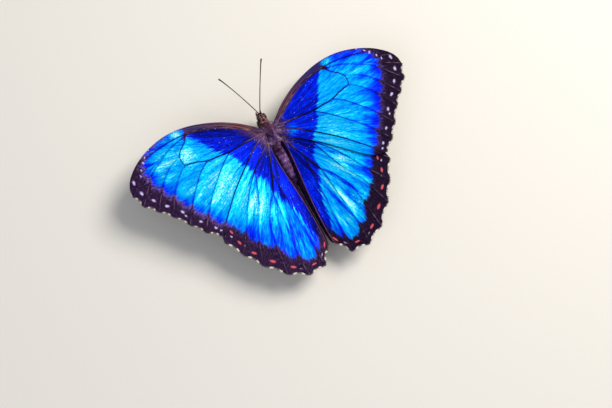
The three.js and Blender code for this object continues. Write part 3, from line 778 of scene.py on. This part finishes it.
# How strong the painted sheen and shade of the folds is on each hindwing.
HINDWING_FOLD_SHEEN = {-1: [(14, -36, 12, 0.25)], 1: [(13, -37, 12, 0.7)]}
HINDWING_EYES = [(25.5, -24, 4.6), (18.5, -41, 2.6), (13.8, -44.5, 3.2), (8, -46, 3.0)]
HINDWING_BARS = [(17, -22, 10, 1.6, 70), (9, -30, 9, 0.8, 85), (6, -15, 6, 0.7, 75)]

hindwing_crease = smooth_line(HINDWING_CREASE, 120)
hindwing_outline = evenly(np.vstack([
    smooth_line(HINDWING_FRONT, 80)[:-1],
    scalloped(HINDWING_TIPS, HINDWING_SCALLOP, 16),
    hindwing_crease]), OUTLINE_POINTS)
hindwing_blue = smooth_line(HINDWING_BLUE, 130)
hindwing_deep = smooth_line(HINDWING_DEEP, 60)
hindwing_edge = scalloped(HINDWING_TIPS, HINDWING_SCALLOP, 8)


def hindwing_height(points):
    """The forewing's height less a drop, and less the trail for each mm behind y = -10."""
    return forewing_height(points) - HINDWING_DROP - HINDWING_TRAIL * np.maximum(-10 - points[..., 1], 0)


def hindwing_marks(side):
    """The hindwing's markings over its plan, as a function of the points."""
    def marks(flat):
        gap = area_distance(flat, hindwing_deep)
        # Its edge is softer on the left: painted shade, different on each side.
        deep = 1 - (soft_step(gap, -1.5, 2.5) if side > 0 else soft_step(gap, -2.5, 4.0))
        return layers(
            mark=(area_distance(flat, hindwing_blue), blobs(flat, HINDWING_HAZE) - 0.25,
                  blobs(flat, HINDWING_DASHES)),
            tone=(deep, painted_light_at(flat, HINDWING_PAINTED_LIGHT[side]), 9.0),
            lie=scale_rows(flat, HINDWING_ROOT, HINDWING_VEINS),
            cast=(GLOOM[side], 0.2, painted_light_at(flat, HINDWING_FOLD_SHEEN[side])),
            below=(eye_rank(flat, HINDWING_EYES), blobs(flat, HINDWING_BARS),
                   line_distance(flat, hindwing_edge)))
    return marks


for word, side in SIDES.items():
    piece = wing_piece("wing_hind_" + word, side, HINDWING_HUB, hindwing_outline, hindwing_height,
                       HINDWING_VEINS, hindwing_marks(side))
    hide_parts("hindwing_" + word)
    piece = veins_piece("veins_hind_" + word, side, hindwing_height, HINDWING_VEINS, HINDWING_GIRTH,
                        hindwing_blue)


# ---- Edge fringes -------------------------------------------------------------------
# A row of narrow scales stands out past the outer edge of each wing: dark at the vein ends and
# in the middle of each hollow, white to either side of it.
FRINGE_COUNT = 1100
FRINGE_INSET = 0.12
FRINGE_LENGTH = 0.6               # of a dark one; a white one is half as long again
FRINGE_WIDTH = 0.07
HOLLOW_POINTS = 60
FRINGE_DARK = "#24142e"
FRINGE_WHITE = "#f3ece2"


def tufts(roots, normal, lie, length, width, lift, seed):
    """Hairs of four points along: root + lie * length * t + normal * length * lift * (t - t * t / 2),
    three-sided, narrowing by (1 - t) ** 0.6 to a point. Ten points each, in order."""
    rng = np.random.default_rng(seed)
    count = len(roots)
    lie = lie + rng.normal(0, 0.16, (count, 3))
    lie = unit(lie - normal * np.sum(lie * normal, axis=1, keepdims=True), 1e-9)
    across = np.cross(lie, normal)
    length = (np.broadcast_to(length, count) * rng.uniform(0.7, 1.25, count))[:, None, None]
    width = np.broadcast_to(width, count)[:, None, None, None]
    t = np.array([0.0, 0.4, 0.75])[None, :, None]
    spine = roots[:, None] + length * (lie[:, None] * t + normal[:, None] * lift * (t - t * t / 2))
    tip = roots[:, None] + length * (lie[:, None] + normal[:, None] * lift / 2)
    angle = np.array([0, 2, 4]) * np.pi / 3
    ring = (np.cos(angle)[None, None, :, None] * across[:, None, None]
            + 0.6 * np.sin(angle)[None, None, :, None] * normal[:, None, None])
    body = spine[:, :, None] + ring * width * ((1 - t) ** 0.6)[..., None]
    points = np.concatenate([body.reshape(count, 9, 3), tip], axis=1).reshape(-1, 3)
    start = 10 * np.arange(count)[:, None, None]
    here, there = np.array([0, 1, 2]), np.array([1, 2, 0])
    quads = np.vstack([np.stack([here, here + 3, there + 3, there], axis=1) + row for row in (0, 3)])
    ends = np.vstack([np.stack([here + 6, np.full(3, 9), there + 6], axis=1), [here]])
    return points, outward(points, [(quads + start).reshape(-1, 4), (ends + start).reshape(-1, 3)])[0]


COAT_PATCH = 0.003                # size of a tuft's patch on the coat's bake map


def coat_uv(places, faces):
    """Each tuft's ten points as a small patch round its root's place on the skin's unwrap."""
    turn = 2 * np.pi * np.arange(10) / 10
    patch = COAT_PATCH / 2 * np.stack([np.cos(turn), np.sin(turn)], axis=1)
    spread = (np.clip(places, 0.004, 0.996)[:, None] + patch[None]).reshape(-1, 2)
    return [spread[block] for block in faces]


# Fringe scales: thin dry plates without ridges, matt, and either white or nearly black.
fringe_scales, tree, shader = new_material("fringe scales")
shade = add(tree, "Attribute", out="Fac", attribute_name="shade")
tint = add(tree, "Mix", shade, FRINGE_DARK, FRINGE_WHITE, data_type="RGBA")
set_surface(shader, tint, None, 0.8, 0.2)


def fringe_piece(name, side, tips, depth, height, outline, whiteness, seed):
    """Narrow scales square to the outer edge, longer and white near a quarter and three quarters
    of the way along each hollow."""
    rng = np.random.default_rng(seed)
    edge = scalloped(tips, depth, HOLLOW_POINTS)
    where = np.sort(rng.uniform(1, len(edge) - 2, FRINGE_COUNT))
    back, ahead = edge[where.astype(int)], edge[where.astype(int) + 1]
    flat = back + (where % 1)[:, None] * (ahead - back)
    step = unit(ahead - back)
    out = np.stack([-step[:, 1], step[:, 0]], axis=1)
    flat = flat - FRINGE_INSET * out
    phase = where / HOLLOW_POINTS % 1
    light = np.exp(-((np.abs(phase - 0.5) - 0.19) / 0.085) ** 2) > rng.uniform(0.25, 0.75, FRINGE_COUNT)
    white, dark = whiteness * rng.uniform(0.75, 1, FRINGE_COUNT), rng.uniform(0, 0.15, FRINGE_COUNT)
    white = np.where(light, white, dark)
    normal = np.tile([0.0, 0.0, 1.0], (FRINGE_COUNT, 1))
    length = FRINGE_LENGTH + 0.3 * white
    roots, lie = raised(side, flat, height(flat)), raised(side, out, 0)
    points, faces = tufts(roots, normal, lie, length, FRINGE_WIDTH, 0.0, seed)
    return mesh_piece(name, points, faces, [fringe_scales], {"shade": np.repeat(white, 10)},
                      coat_uv(wing_place(flat, outline), faces))


for word, side in SIDES.items():
    piece = fringe_piece("fringe_fore_" + word, side, FOREWING_TIPS, FOREWING_SCALLOP, forewing_height,
                         forewing_outline, 0.75, 11 + side)
    piece = fringe_piece("fringe_hind_" + word, side, HINDWING_TIPS, HINDWING_SCALLOP, hindwing_height,
                         hindwing_outline, 1.0, 21 + side)


# ---- Head, thorax and abdomen --------------------------------------------------------
# One hide of jointed cuticle, oval in section: a small head on a short neck, a deep thorax that
# holds the flight muscles, and a ringed abdomen. Scales and hair clothe it and lie backwards.
BODY = [  # place along, height of the middle, half width, half height, depth of the coat
    (8.7, -3.5, 0.35, 0.5, 0.1), (8.3, -3.4, 0.85, 1.1, 0.12), (7.4, -3.2, 1.35, 1.7, 0.14),
    (6, -3, 1.6, 1.95, 0.14), (4.5, -3, 1.5, 1.7, 0.16), (3.55, -3, 1.2, 1.35, 0.16),
    (3.2, -2.9, 1.6, 1.75, 0.25), (2.4, -2.7, 2.5, 2.5, 0.32), (0.8, -2.4, 3.35, 3.3, 0.35),
    (-2, -2.3, 3.6, 3.6, 0.35), (-4.8, -2.8, 3.05, 3.1, 0.3), (-6.7, -3.2, 2.15, 2.25, 0.22),
    (-7.5, -3.35, 1.72, 1.85, 0.16), (-9.5, -3.6, 2, 2.1, 0.14), (-13, -4, 2.15, 2.3, 0.13),
    (-17, -4.5, 2.05, 2.15, 0.13), (-20.5, -5, 1.6, 1.65, 0.12), (-23, -5.3, 1, 1.05, 0.1),
    (-24.4, -5.5, 0.45, 0.5, 0.06)]
BODY_ROWS = 300
BODY_COLUMNS = 96
RING_START = -7.6                 # where the abdomen's rings begin
RING_LENGTH = 2.1
RING_SWELL = 0.07                 # how much a ring widens backwards
RING_STEP = 0.1                   # how deep the joint behind it is
FURROW_DEPTH = 0.14
# Pale spots on the head: partly pale scales and partly painted glints.
PALE_DOTS_AND_GLINTS = [(0.4, 7.5), (0.62, 6.6), (0.5, 5.6), (0.8, 4.9), (0.3, 4.2)]


def body_rings():
    """Ovals along Y: middle + (half width * cos a, half height * sin a), less the coat. Each ring
    of the abdomen widens backwards and steps in, and a furrow runs along the thorax."""
    place, middle, wide, high, coat = smooth_line(BODY, BODY_ROWS).T[:, :, None]
    angle = np.linspace(0, 2 * np.pi, BODY_COLUMNS, endpoint=False)[None] - np.pi / 2
    ring = (RING_START - place) / RING_LENGTH
    behind = soft_step(ring, 0, 0.5)
    swell = behind * (RING_SWELL * (ring % 1) - RING_STEP * np.exp(-((ring % 1 - 1) / 0.07) ** 2))
    across = (wide - coat + swell) * np.cos(angle)
    furrow = FURROW_DEPTH * np.exp(-(across / 0.35) ** 2) * (np.sin(angle) > 0)
    furrow = furrow * soft_step(4 - np.abs(place + 1), 0, 3)
    up = middle + (high - coat + swell) * np.sin(angle) - furrow
    return np.stack([across, place + 0 * angle, up], axis=-1)


def body_tone(points, normals):
    """How light the hide is there, and how far from mauve to warm brown, by part of the body, with painted
    light on the right flank and painted shade on the left.
    """
    x, y = np.abs(points[:, 0]), points[:, 1]
    below = soft_step(-normals[:, 2], -0.1, 0.5)
    head = soft_step(y, 3.2, 3.8)
    hind = soft_step(-y, 6.8, 7.8)
    light = 0.5 - 0.12 * np.exp(-(x / 0.9) ** 2) + 0.16 * soft_step(x, 1.6, 3.0) * (1 - head)
    # Painted light and shade: the right flank lighter and the left darker, as the key lamp lights it from
    # the right.
    light = light + 0.1 * np.clip(points[:, 0], -2, 2) / 2
    light = light + hind * (-0.04 + 0.08 * np.cos(2 * np.pi * (RING_START - y) / RING_LENGTH))
    light = light + 0.06 * np.exp(-((y + 16) / 4) ** 2) - 0.12 * soft_step(-y, 19, 23)
    light = light - head * (0.08 + 0.1 * np.exp(-(x / 0.25) ** 2))
    # The pale spots are partly pale scales and partly painted glints.
    for dot_x, dot_y in PALE_DOTS_AND_GLINTS:
        light = light + 0.7 * np.exp(-(np.hypot(x - dot_x, y - dot_y) / 0.2) ** 2) * (1 - below)
    light = light + 0.22 * below
    warm = 0.18 + 0.35 * soft_step(y, -3, 1.5) + 0.4 * soft_step(y, 1, 4)
    warm = warm + 0.2 * np.exp(-((y + 7.5) / 2) ** 2) + 0.75 * below
    return np.clip(light, 0, 1), np.clip(warm, 0, 1)


# Hide and hair: chitin under flat scales and fine hair, dull and soft, mauve turning to brown. The
# real scales are 0.1 mm wide; their lay and clumps are drawn 0.4 and 1.6 mm wide, to show.
hide, tree, shader = new_material("scaled hide and hair")
tint = add(tree, "Attribute", out="Vector", attribute_name="tint")
light, warm, stray = add(tree, "SeparateXYZ", tint).node.outputs
where = add(tree, "TexCoord", out="Object")
along = add(tree, "VectorMath", where, (3.0, 1.0, 3.0), operation="MULTIPLY")
lay = add(tree, "TexNoise", Vector=along, Scale=0.9 / MM, Detail=3.0, Roughness=0.6)
clumps = add(tree, "TexNoise", Vector=along, Scale=0.21 / MM, Detail=3.0)
for amount, share in [(lay, 0.6), (clumps, 1.3), (stray, 1.0)]:
    light = add(tree, "Math", amount, share, light, operation="MULTIPLY_ADD")
light = add(tree, "Math", light, 0.93, operation="SUBTRACT")
LIGHT_STOPS = (0.0, 0.22, 0.42, 0.6, 0.8, 1.0)
MAUVES = ("#130818", "#311a40", "#5c3c86", "#8d63b4", "#bb99d0", "#e6daf2")
BROWNS = ("#190a0e", "#3e1c22", "#733f42", "#a06a62", "#c8a294", "#efe4d8")
mauve, brown = [add(tree, "ValToRGB", light, stops=zip(LIGHT_STOPS, hues)) for hues in (MAUVES, BROWNS)]
paint = add(tree, "Mix", warm, mauve, brown, data_type="RGBA")
bump = add(tree, "Bump", Height=lay, Strength=0.8, Distance=0.1 * MM)
set_surface(shader, paint, bump, 0.72, 0.12)

body = body_rings()
round_it = np.roll(body, -1, axis=1) - np.roll(body, 1, axis=1)
body_normal = unit(np.cross(round_it, np.gradient(body, axis=0)))
body_normal *= np.sign(np.sum(body_normal[..., ::2] * (body - body.mean(1, keepdims=True))[..., ::2]))
points, faces, maps = closed_rings(body)
light, warm = body_tone(body.reshape(-1, 3), body_normal.reshape(-1, 3))
tint = np.stack([light, warm, np.zeros(len(light))], axis=1)
tint = np.vstack([tint, tint[[0, -1]]])
skin = mesh_piece("skin_body", points, faces, [hide], {"tint": tint}, maps)
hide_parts("head", "thorax", "abdomen")


def hair_piece(name, hairs, tint, places):
    """Hairs made a piece of hide, each with one tint, and a patch at its place on the unwrap."""
    points, faces = hairs
    tint = np.repeat(np.stack(np.broadcast_arrays(*tint), axis=1), 10, axis=0)
    piece = mesh_piece(name, points, faces, [hide], {"tint": tint}, coat_uv(places, faces))


def body_coat(name, count, front, back, length, width, lift, seed, arc=(0.0, 1.0), ahead=-1.0, aside=0.15):
    """Hair over the hide between two places along it and within an arc from the under side, on both
    flanks, lying ahead (or, below 0, backwards) and aside."""
    rng = np.random.default_rng(seed)
    rows = np.flatnonzero((body[:, 0, 1] <= front) & (body[:, 0, 1] >= back))
    girth = np.linalg.norm(body - body.mean(1, keepdims=True), axis=2).mean(1)[rows]
    row = rng.choice(rows, count, p=girth / girth.sum())
    share = rng.uniform(0, 1, (count, 2))
    column = (arc[0] + (arc[1] - arc[0]) * share[:, 0]) * BODY_COLUMNS
    column = np.where(rng.random(count) < 0.5, column, BODY_COLUMNS - column) % BODY_COLUMNS
    left, right = column.astype(int) % BODY_COLUMNS, (column.astype(int) + 1) % BODY_COLUMNS
    further = np.minimum(row + 1, BODY_ROWS - 1)
    part = (column % 1)[:, None]
    roots = body[row, left] * (1 - part) + body[row, right] * part
    roots = roots + share[:, 1:] * (body[further, left] - body[row, left])
    normal = body_normal[row, left]
    lie = np.stack([aside * np.sign(roots[:, 0]), np.full(count, ahead), np.zeros(count)], axis=1)
    places = np.stack([column / BODY_COLUMNS, 0.02 + 0.96 * row / (BODY_ROWS - 1)], axis=1)
    hairs = tufts(roots - 0.03 * normal, normal, lie, length, width, lift, seed)
    hair_piece(name, hairs, (*body_tone(roots, normal), rng.normal(0, 0.14, count)), places)


body_coat("hair_head", 5200, 8.6, 3.5, 0.42, 0.045, 0.5, 31)
body_coat("hair_collar", 3000, 3.35, 1.7, 1.35, 0.05, 0.5, 34, (0.14, 0.5), 0.9, 0.7)
body_coat("hair_ruff", 1500, 4.9, 3.3, 1.25, 0.045, 0.5, 37, (0.2, 0.45), -0.6, 0.9)
body_coat("hair_shoulder", 1300, 3.1, 1.6, 1.5, 0.055, 0.6, 35, (0.3, 0.4), 0.8, 0.9)
body_coat("hair_tegula", 2200, 1.4, -3.4, 1.9, 0.055, 0.95, 36, (0.3, 0.39), -0.5, 1.0)
body_coat("hair_thorax", 11500, 3.4, -8.0, 1.15, 0.055, 0.42, 32)
body_coat("hair_abdomen", 10500, -7.2, -24.3, 0.5, 0.05, 0.35, 33)


# ---- Hair at the wing roots ----------------------------------------------------------
# Long loose hair of the same kind as the coat's runs out from the thorax over the first few
# millimetres of each wing. It grows on the membrane, and fans out from where the wing is hinged.
ROOT_HAIR = {  # bearing from the hub at the front and the back, and how far out the last root is
    "fore": (forewing_height, forewing_outline, FOREWING_ROOT, 1.0, -1.0, 6.4),
    "hind": (hindwing_height, hindwing_outline, HINDWING_ROOT, -0.5, -1.5, 7.0)}
ROOT_HAIR_COUNT = 1300
ROOT_HAIR_START = 1.2
ROOT_HAIR_LENGTH = 1.8            # less a tenth of the distance from the hub

for word, side in SIDES.items():
    for wing, (height, outline, hub, front, back, far) in ROOT_HAIR.items():
        rng = np.random.default_rng(41 + side)
        bearing = rng.uniform(back, front, ROOT_HAIR_COUNT)
        reach = ROOT_HAIR_START + (far - ROOT_HAIR_START) * rng.uniform(0, 1, ROOT_HAIR_COUNT) ** 2.6
        out = np.stack([np.cos(bearing), np.sin(bearing)], axis=1)
        flat = np.asarray(hub) + reach[:, None] * out
        kept = area_distance(flat, outline) < -0.3
        flat, out, reach = flat[kept], out[kept], reach[kept]
        roots, lie = raised(side, flat, height(flat) + MEMBRANE_HALF), raised(side, out, 0.12)
        normal = np.tile([0.0, 0.0, 1.0], (len(out), 1))
        hairs = tufts(roots, normal, lie, ROOT_HAIR_LENGTH - 0.1 * reach, 0.034, 0.2, 43 + side)
        light = 0.5 - 0.04 * reach + rng.normal(0, 0.17, len(out))
        hair_piece("hair_" + wing + "_root_" + word, hairs, (light, 0.25, 0.0), wing_place(flat, outline))


# ---- Inner folds ---------------------------------------------------------------------
# The inner edge of each hindwing is bent down along the crease and holds the abdomen between
# the two. It carries no blue, and is dark and hairy, the dark partly painted shade of the gutter, with a
# painted highlight along the crease.
FOLD_HALF = 0.08
FOLD_DEPTH = 3.2
FOLD_START = 0.12                 # where on the half sine of its depth the root end lies
FOLD_HUG = 0.08                   # how far its lower edge stands off the abdomen's hide
FOLD_MEET = 0.2                   # and off the middle line, behind the abdomen
FOLD_STEPS = 260
FOLD_ROWS = 24

# Inner fold scales: long, hair-like and nearly black, and matt; the near-black is partly painted shade, so
# that the gutter looks dark.
# They are drawn 0.6 mm wide and 2 mm long, several times too coarse, to show.
fold_scales, tree, shader = new_material("inner fold scales")
down = add(tree, "Attribute", out="Fac", attribute_name="down")
where = add(tree, "TexCoord", out="Object")
along = add(tree, "VectorMath", where, (1.0, 0.3, 1.0), operation="MULTIPLY")
lay = add(tree, "TexNoise", Vector=along, Scale=1.8 / MM, Detail=3.0)
shade = add(tree, "ValToRGB", lay, stops=[(0.35, "#0c0628"), (0.55, "#1c0f38"), (0.75, "#45264f")])
# Painted highlight: a pale line along the crease, where the light catches the bent edge.
crease_glint = add(tree, "MapRange", down, 0.08, 0.02)
crease_glint = add(tree, "Math", crease_glint, lay, operation="MULTIPLY")
shade = add(tree, "Mix", crease_glint, shade, "#b0706c", data_type="RGBA")
bump = add(tree, "Bump", Height=lay, Strength=0.6, Distance=0.1 * MM)
set_surface(shader, shade, bump, 0.8, 0.1)

for word, side in SIDES.items():
    crease = smooth_line(HINDWING_CREASE[::-1], FOLD_STEPS)
    along = np.linspace(0, 1, FOLD_STEPS)
    depth = FOLD_DEPTH * np.sqrt(np.sin(np.pi * (FOLD_START + (1 - FOLD_START) * along)).clip(0.003))
    beside = np.interp(-crease[:, 1], [-row[0] for row in BODY], [row[2] - row[4] for row in BODY])
    beside = np.where(crease[:, 1] < BODY[-1][0], 0, beside)
    lean = np.maximum(crease[:, 0] - np.maximum(beside + FOLD_HUG, FOLD_MEET), 0) * np.minimum(1, depth / 2)
    down = np.linspace(0, 1, FOLD_ROWS)[:, None]
    inwards = lean * np.sin(np.pi / 2 * down) ** 1.4
    fold = raised(side, crease - np.stack([inwards, 0 * inwards], axis=-1),
                  hindwing_height(crease) - depth * down - 0.02)
    across = np.cross(np.gradient(fold, axis=0), np.gradient(fold, axis=1))
    across *= FOLD_HALF / np.linalg.norm(across, axis=2, keepdims=True)
    wall = np.concatenate([fold + across, (fold - across)[::-1]])
    points, faces, maps = closed_rings(wall.transpose(1, 0, 2))
    down = np.vstack([down, down[::-1]])[None, :, 0] + 0 * wall[..., 0].T
    down = np.append(down.ravel(), [0.5, 0.5])
    piece = mesh_piece("inner_fold_" + word, points, faces, [fold_scales], {"down": down}, maps)


# ---- Eyes ----------------------------------------------------------------------------
# Two large domes of many small lenses, dark brown and glossy, set in the sides of the head and
# one with its hard skin.
EYE_CENTRE = (1.25, 6.4, -2.9)
EYE_RADII = (0.85, 1.4, 1.45)
EYE_LENS = 0.08
EYE_GRID = (64, 96)

# Cornea: clear hard cuticle over dark pigment, smooth and glossy, in six-sided lenses about
# 0.025 mm wide, which are drawn three times as wide, to show.
lenses, tree, shader = new_material("compound eye cornea")
where = add(tree, "TexCoord", out="Object")
cells = add(tree, "TexVoronoi", Vector=where, Scale=1 / (EYE_LENS * MM), feature="F1")
blot = add(tree, "TexNoise", Vector=where, Scale=0.7 / MM, Detail=1.0)
stain = add(tree, "ValToRGB", blot, stops=[(0.35, "#170b0c"), (0.5, "#2a1614"), (0.68, "#412820")])
bump = add(tree, "Bump", Height=cells, Strength=0.35, Distance=0.03 * MM, invert=True)
set_surface(shader, stain, bump, 0.22, 0.4)

# An oval in the polar angle and the turn: centre + radii * (cos p, sin p cos t, sin p sin t).
polar = np.linspace(0.02, np.pi - 0.02, EYE_GRID[0])[:, None]
turn = np.linspace(0, 2 * np.pi, EYE_GRID[1], endpoint=False)[None]
dome = np.broadcast_arrays(np.cos(polar), np.sin(polar) * np.cos(turn), np.sin(polar) * np.sin(turn))
dome = EYE_CENTRE + np.stack(dome, axis=-1) * EYE_RADII
for word, side in SIDES.items():
    points, faces, maps = closed_rings(dome * (side, 1, 1))
    piece = mesh_piece("eye_dome_" + word, points, faces, [lenses], uv=maps)
    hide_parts("eye_" + word)


# ---- Antennae, palps and tongue ------------------------------------------------------
# Thin jointed feelers that thicken to a club, two hairy palps that point up before the face,
# and the sucking tongue, wound up under it like a watch spring.
ANTENNA = [(0.4, 7.8, -2.7), (0.85, 9.4, -1.5), (4.7, 16.8, 3.6), (8.1, 22.8, 7.2), (9.5, 25, 8.3)]
ANTENNA_RADII = [0.26, 0.21, 0.19, 0.23, 0.37]
ANTENNA_JOINTS = 40
PALP = [(0.95, 6.8, -4.6), (0.95, 8.3, -4.9), (0.9, 9.3, -3.9)]
PALP_RADII = [0.32, 0.34, 0.16]
PALP_JOINTS = 3
TONGUE_CENTRE = (6.7, -6.4)
TONGUE_INNER = 0.5
TONGUE_PITCH = 0.72
TONGUE_TURNS = 1.7
TONGUE_RADII = [0.12, 0.25, 0.25]
TONGUE_JOINTS = 60

# Cuticle: hard brown chitin with a loose coat of flat scales, satiny, in dark and worn patches
# about 2 mm long. The scales are drawn 0.4 mm wide, four times too coarse, to show.
cuticle, tree, shader = new_material("brown cuticle with scales")
where = add(tree, "TexCoord", out="Object")
lay = add(tree, "TexNoise", Vector=where, Scale=2.6 / MM, Detail=3.0)
patch = add(tree, "TexNoise", Vector=where, Scale=0.5 / MM, Detail=1.0)
lay = add(tree, "Math", patch, 0.5, lay, operation="MULTIPLY_ADD")
shade = add(tree, "ValToRGB", lay, stops=[
    (0.55, "#120b0c"), (0.72, "#261815"), (0.86, "#453028"), (1.0, "#745b4a")])
bump = add(tree, "Bump", Height=lay, Strength=0.5, Distance=0.04 * MM)
set_surface(shader, shade, bump, 0.5)


def limb_hair(name, path, radii, count, length, width, lift, light, seed):
    """Hair over a limb, rooted at path + radius * (cos a * sideways + sin a * up) for random places
    and angles, and lying towards the limb's end."""
    rng = np.random.default_rng(seed)
    where = np.sort(rng.uniform(0.02, 0.97, count))
    turn = rng.uniform(0, 2 * np.pi, count)
    share = np.linspace(0, 1, len(path))
    centre, ahead = [np.stack([np.interp(place, share, path[:, axis]) for axis in range(3)], axis=1)
                     for place in (where, where + 0.01)]
    ahead = unit(ahead - centre, 1e-9)
    sideways = unit(np.cross(ahead, [0.02, 0.05, 1.0]), 1e-9)
    up = np.cross(sideways, ahead)
    normal = np.cos(turn)[:, None] * sideways + np.sin(turn)[:, None] * up
    radius = np.interp(where, np.linspace(0, 1, len(radii)), radii)
    hairs = tufts(centre + 0.9 * radius[:, None] * normal, normal, ahead, length, width, lift, seed)
    light = np.clip(light + rng.normal(0, 0.14, count), 0, 1)
    hair_piece(name, hairs, (light, 0.85, 0.0), np.stack([turn / 2 / np.pi, 0.02 + 0.96 * where], axis=1))


def jointed(path, radii, joints, sides):
    """A tube whose radius runs through the given ones and dips by a tenth at every joint."""
    place = np.linspace(0, 1, len(path))
    radius = np.interp(place, np.linspace(0, 1, len(radii)), radii)
    dip = np.abs(np.sin(np.pi * joints * place)) ** 0.5
    close = np.sqrt(np.clip(np.minimum(place, 1 - place) / 0.012, 0.02, 1))
    return tube(path, radius * (0.9 + 0.1 * dip) * close, sides)


for word, side in SIDES.items():
    path = smooth_line(ANTENNA, 520) * (side, 1, 1)
    points, faces, maps = jointed(path, ANTENNA_RADII, ANTENNA_JOINTS, 14)
    piece = mesh_piece("feeler_" + word, points, faces, [cuticle], uv=maps)
    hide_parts("antenna_" + word)
    path = smooth_line(PALP, 60) * (side, 1, 1)
    points, faces, maps = jointed(path, PALP_RADII, PALP_JOINTS, 20)
    tint = np.tile([0.42, 0.8, 0.0], (len(points), 1))
    piece = mesh_piece("palp_skin_" + word, points, faces, [hide], {"tint": tint}, maps)
    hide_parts("palp_" + word)
    limb_hair("hair_palp_" + word, path, PALP_RADII, 700, 0.42, 0.04, 0.5, 0.5, 51 + side)

turn = np.linspace(0, 2 * np.pi * TONGUE_TURNS, 260)
reach = TONGUE_INNER + TONGUE_PITCH * turn / (2 * np.pi)
coil = np.stack([0 * turn, reach * np.cos(turn), reach * np.sin(turn)], axis=1) + (0, *TONGUE_CENTRE)
points, faces, maps = jointed(coil, TONGUE_RADII, TONGUE_JOINTS, 16)
piece = mesh_piece("tongue", points, faces, [cuticle], uv=maps)
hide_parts("proboscis")


# ---- Legs ----------------------------------------------------------------------------
# Four thin walking legs of the same cuticle as the feelers, hinged under the thorax, each with a
# thigh, a shin, a foot of five joints and two claws. The forelegs are short hairy brushes held up
# under the neck.
LEG_PATHS = {
    "mid": [(1.2, -0.6, -4.2), (3.4, 0.6, -5.6), (7.4, 1.7, -3.9), (11.2, 4.2, -10.4),
            (12.2, 5, -10.74), (14.2, 6.4, -10.78)],
    "hind": [(1.1, -3.4, -4.2), (3, -5.4, -5.6), (6.2, -10.5, -4.1), (9.55, -17.7, -10.4),
             (10.1, -19.2, -10.74), (11, -22.2, -10.78)]}
LEG_RADII = [(0.6, 0.5), (0.42, 0.36), (0.34, 0.24), (0.25, 0.24), (0.24, 0.19)]
THIGH_SWELL = 0.1
LEG_HAIR = {  # first and last point of the path, the radii there, how many hairs and how long
    "thigh": (1, 2, (0.42, 0.4), 700, 0.4),
    "shin": (2, 3, (0.32, 0.22), 500, 0.34),
    "foot": (4, 5, (0.18, 0.18), 160, 0.26)}
FOOT_JOINTS = 5
FOOT_RADII = (0.2, 0.23)          # each joint of the foot widens to its end
CLAW_LENGTH = 0.5
CLAW_DROP = 0.12
CLAW_RADII = (0.1, 0.04)
FORELEG = [(1.2, 2.4, -4.4), (1.9, 4.2, -5.9), (1.7, 5.9, -6.5), (1.5, 4.6, -7.2), (1.3, 2.6, -7.6)]
FORELEG_RADII = [0.4, 0.36, 0.28, 0.26, 0.2]
FORELEG_JOINTS = 4


def rod(start, end, thick, thin, bulge=0.0):
    """A straight limb from start to end, rounded at both ends, fuller by the bulge in its middle."""
    place = np.concatenate([[0, 0.004, 0.015, 0.04], np.linspace(0.08, 0.92, 15), [0.96, 0.985, 0.996, 1]])
    path = np.asarray(start) + place[:, None] * (np.asarray(end, float) - start)
    radius = thick + (thin - thick) * place + bulge * np.sin(np.pi * place)
    close = np.sqrt(np.clip(np.minimum(place, 1 - place) / 0.05, 0.01, 1))
    return tube(path, radius * close, 14)[:2]


def leg_parts(path):
    """The rods of a walking leg, in the order from the body to the claws."""
    parts = [rod(start, end, *radii, THIGH_SWELL if number == 1 else 0.0)
             for number, (start, end, radii) in enumerate(zip(path[:-2], path[1:-1], LEG_RADII))]
    foot = np.linspace(0, 1, FOOT_JOINTS + 1)[:, None]
    foot = np.asarray(path[-2]) + foot * (np.asarray(path[-1]) - path[-2])
    parts += [rod(start, end, *FOOT_RADII) for start, end in zip(foot[:-1], foot[1:])]
    ahead = unit(foot[-1] - foot[-2])
    aside = np.array([-ahead[1], ahead[0], 0])
    for turn in (-1, 1):
        tip = foot[-1] + CLAW_LENGTH * (ahead + 0.6 * turn * aside) - (0, 0, CLAW_DROP)
        parts.append(rod(foot[-1], tip, *CLAW_RADII))
    return parts


for word, side in SIDES.items():
    for name, path in LEG_PATHS.items():
        points, faces = joined(leg_parts(np.array(path) * (side, 1, 1)))
        faces, _ = outward(points, faces)
        piece = mesh_piece(name + "leg_limb_" + word, points, faces, [cuticle])
        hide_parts(name + "leg_" + word)
        for part, (start, end, radii, count, length) in LEG_HAIR.items():
            stretch = np.linspace(path[start], path[end], 12) * (side, 1, 1)
            limb_hair("_".join(["hair", name + "leg", part, word]), stretch, radii, count, length,
                      0.03, 0.6, 0.45, 71)
    path = smooth_line(FORELEG, 160) * (side, 1, 1)
    points, faces, maps = jointed(path, FORELEG_RADII, FORELEG_JOINTS, 16)
    tint = np.tile([0.4, 0.85, 0.0], (len(points), 1))
    piece = mesh_piece("foreleg_brush_" + word, points, faces, [hide], {"tint": tint}, maps)
    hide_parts("foreleg_" + word)
    limb_hair("hair_foreleg_" + word, path, FORELEG_RADII, 2000, 1.0, 0.035, 0.7, 0.52, 61 + side)
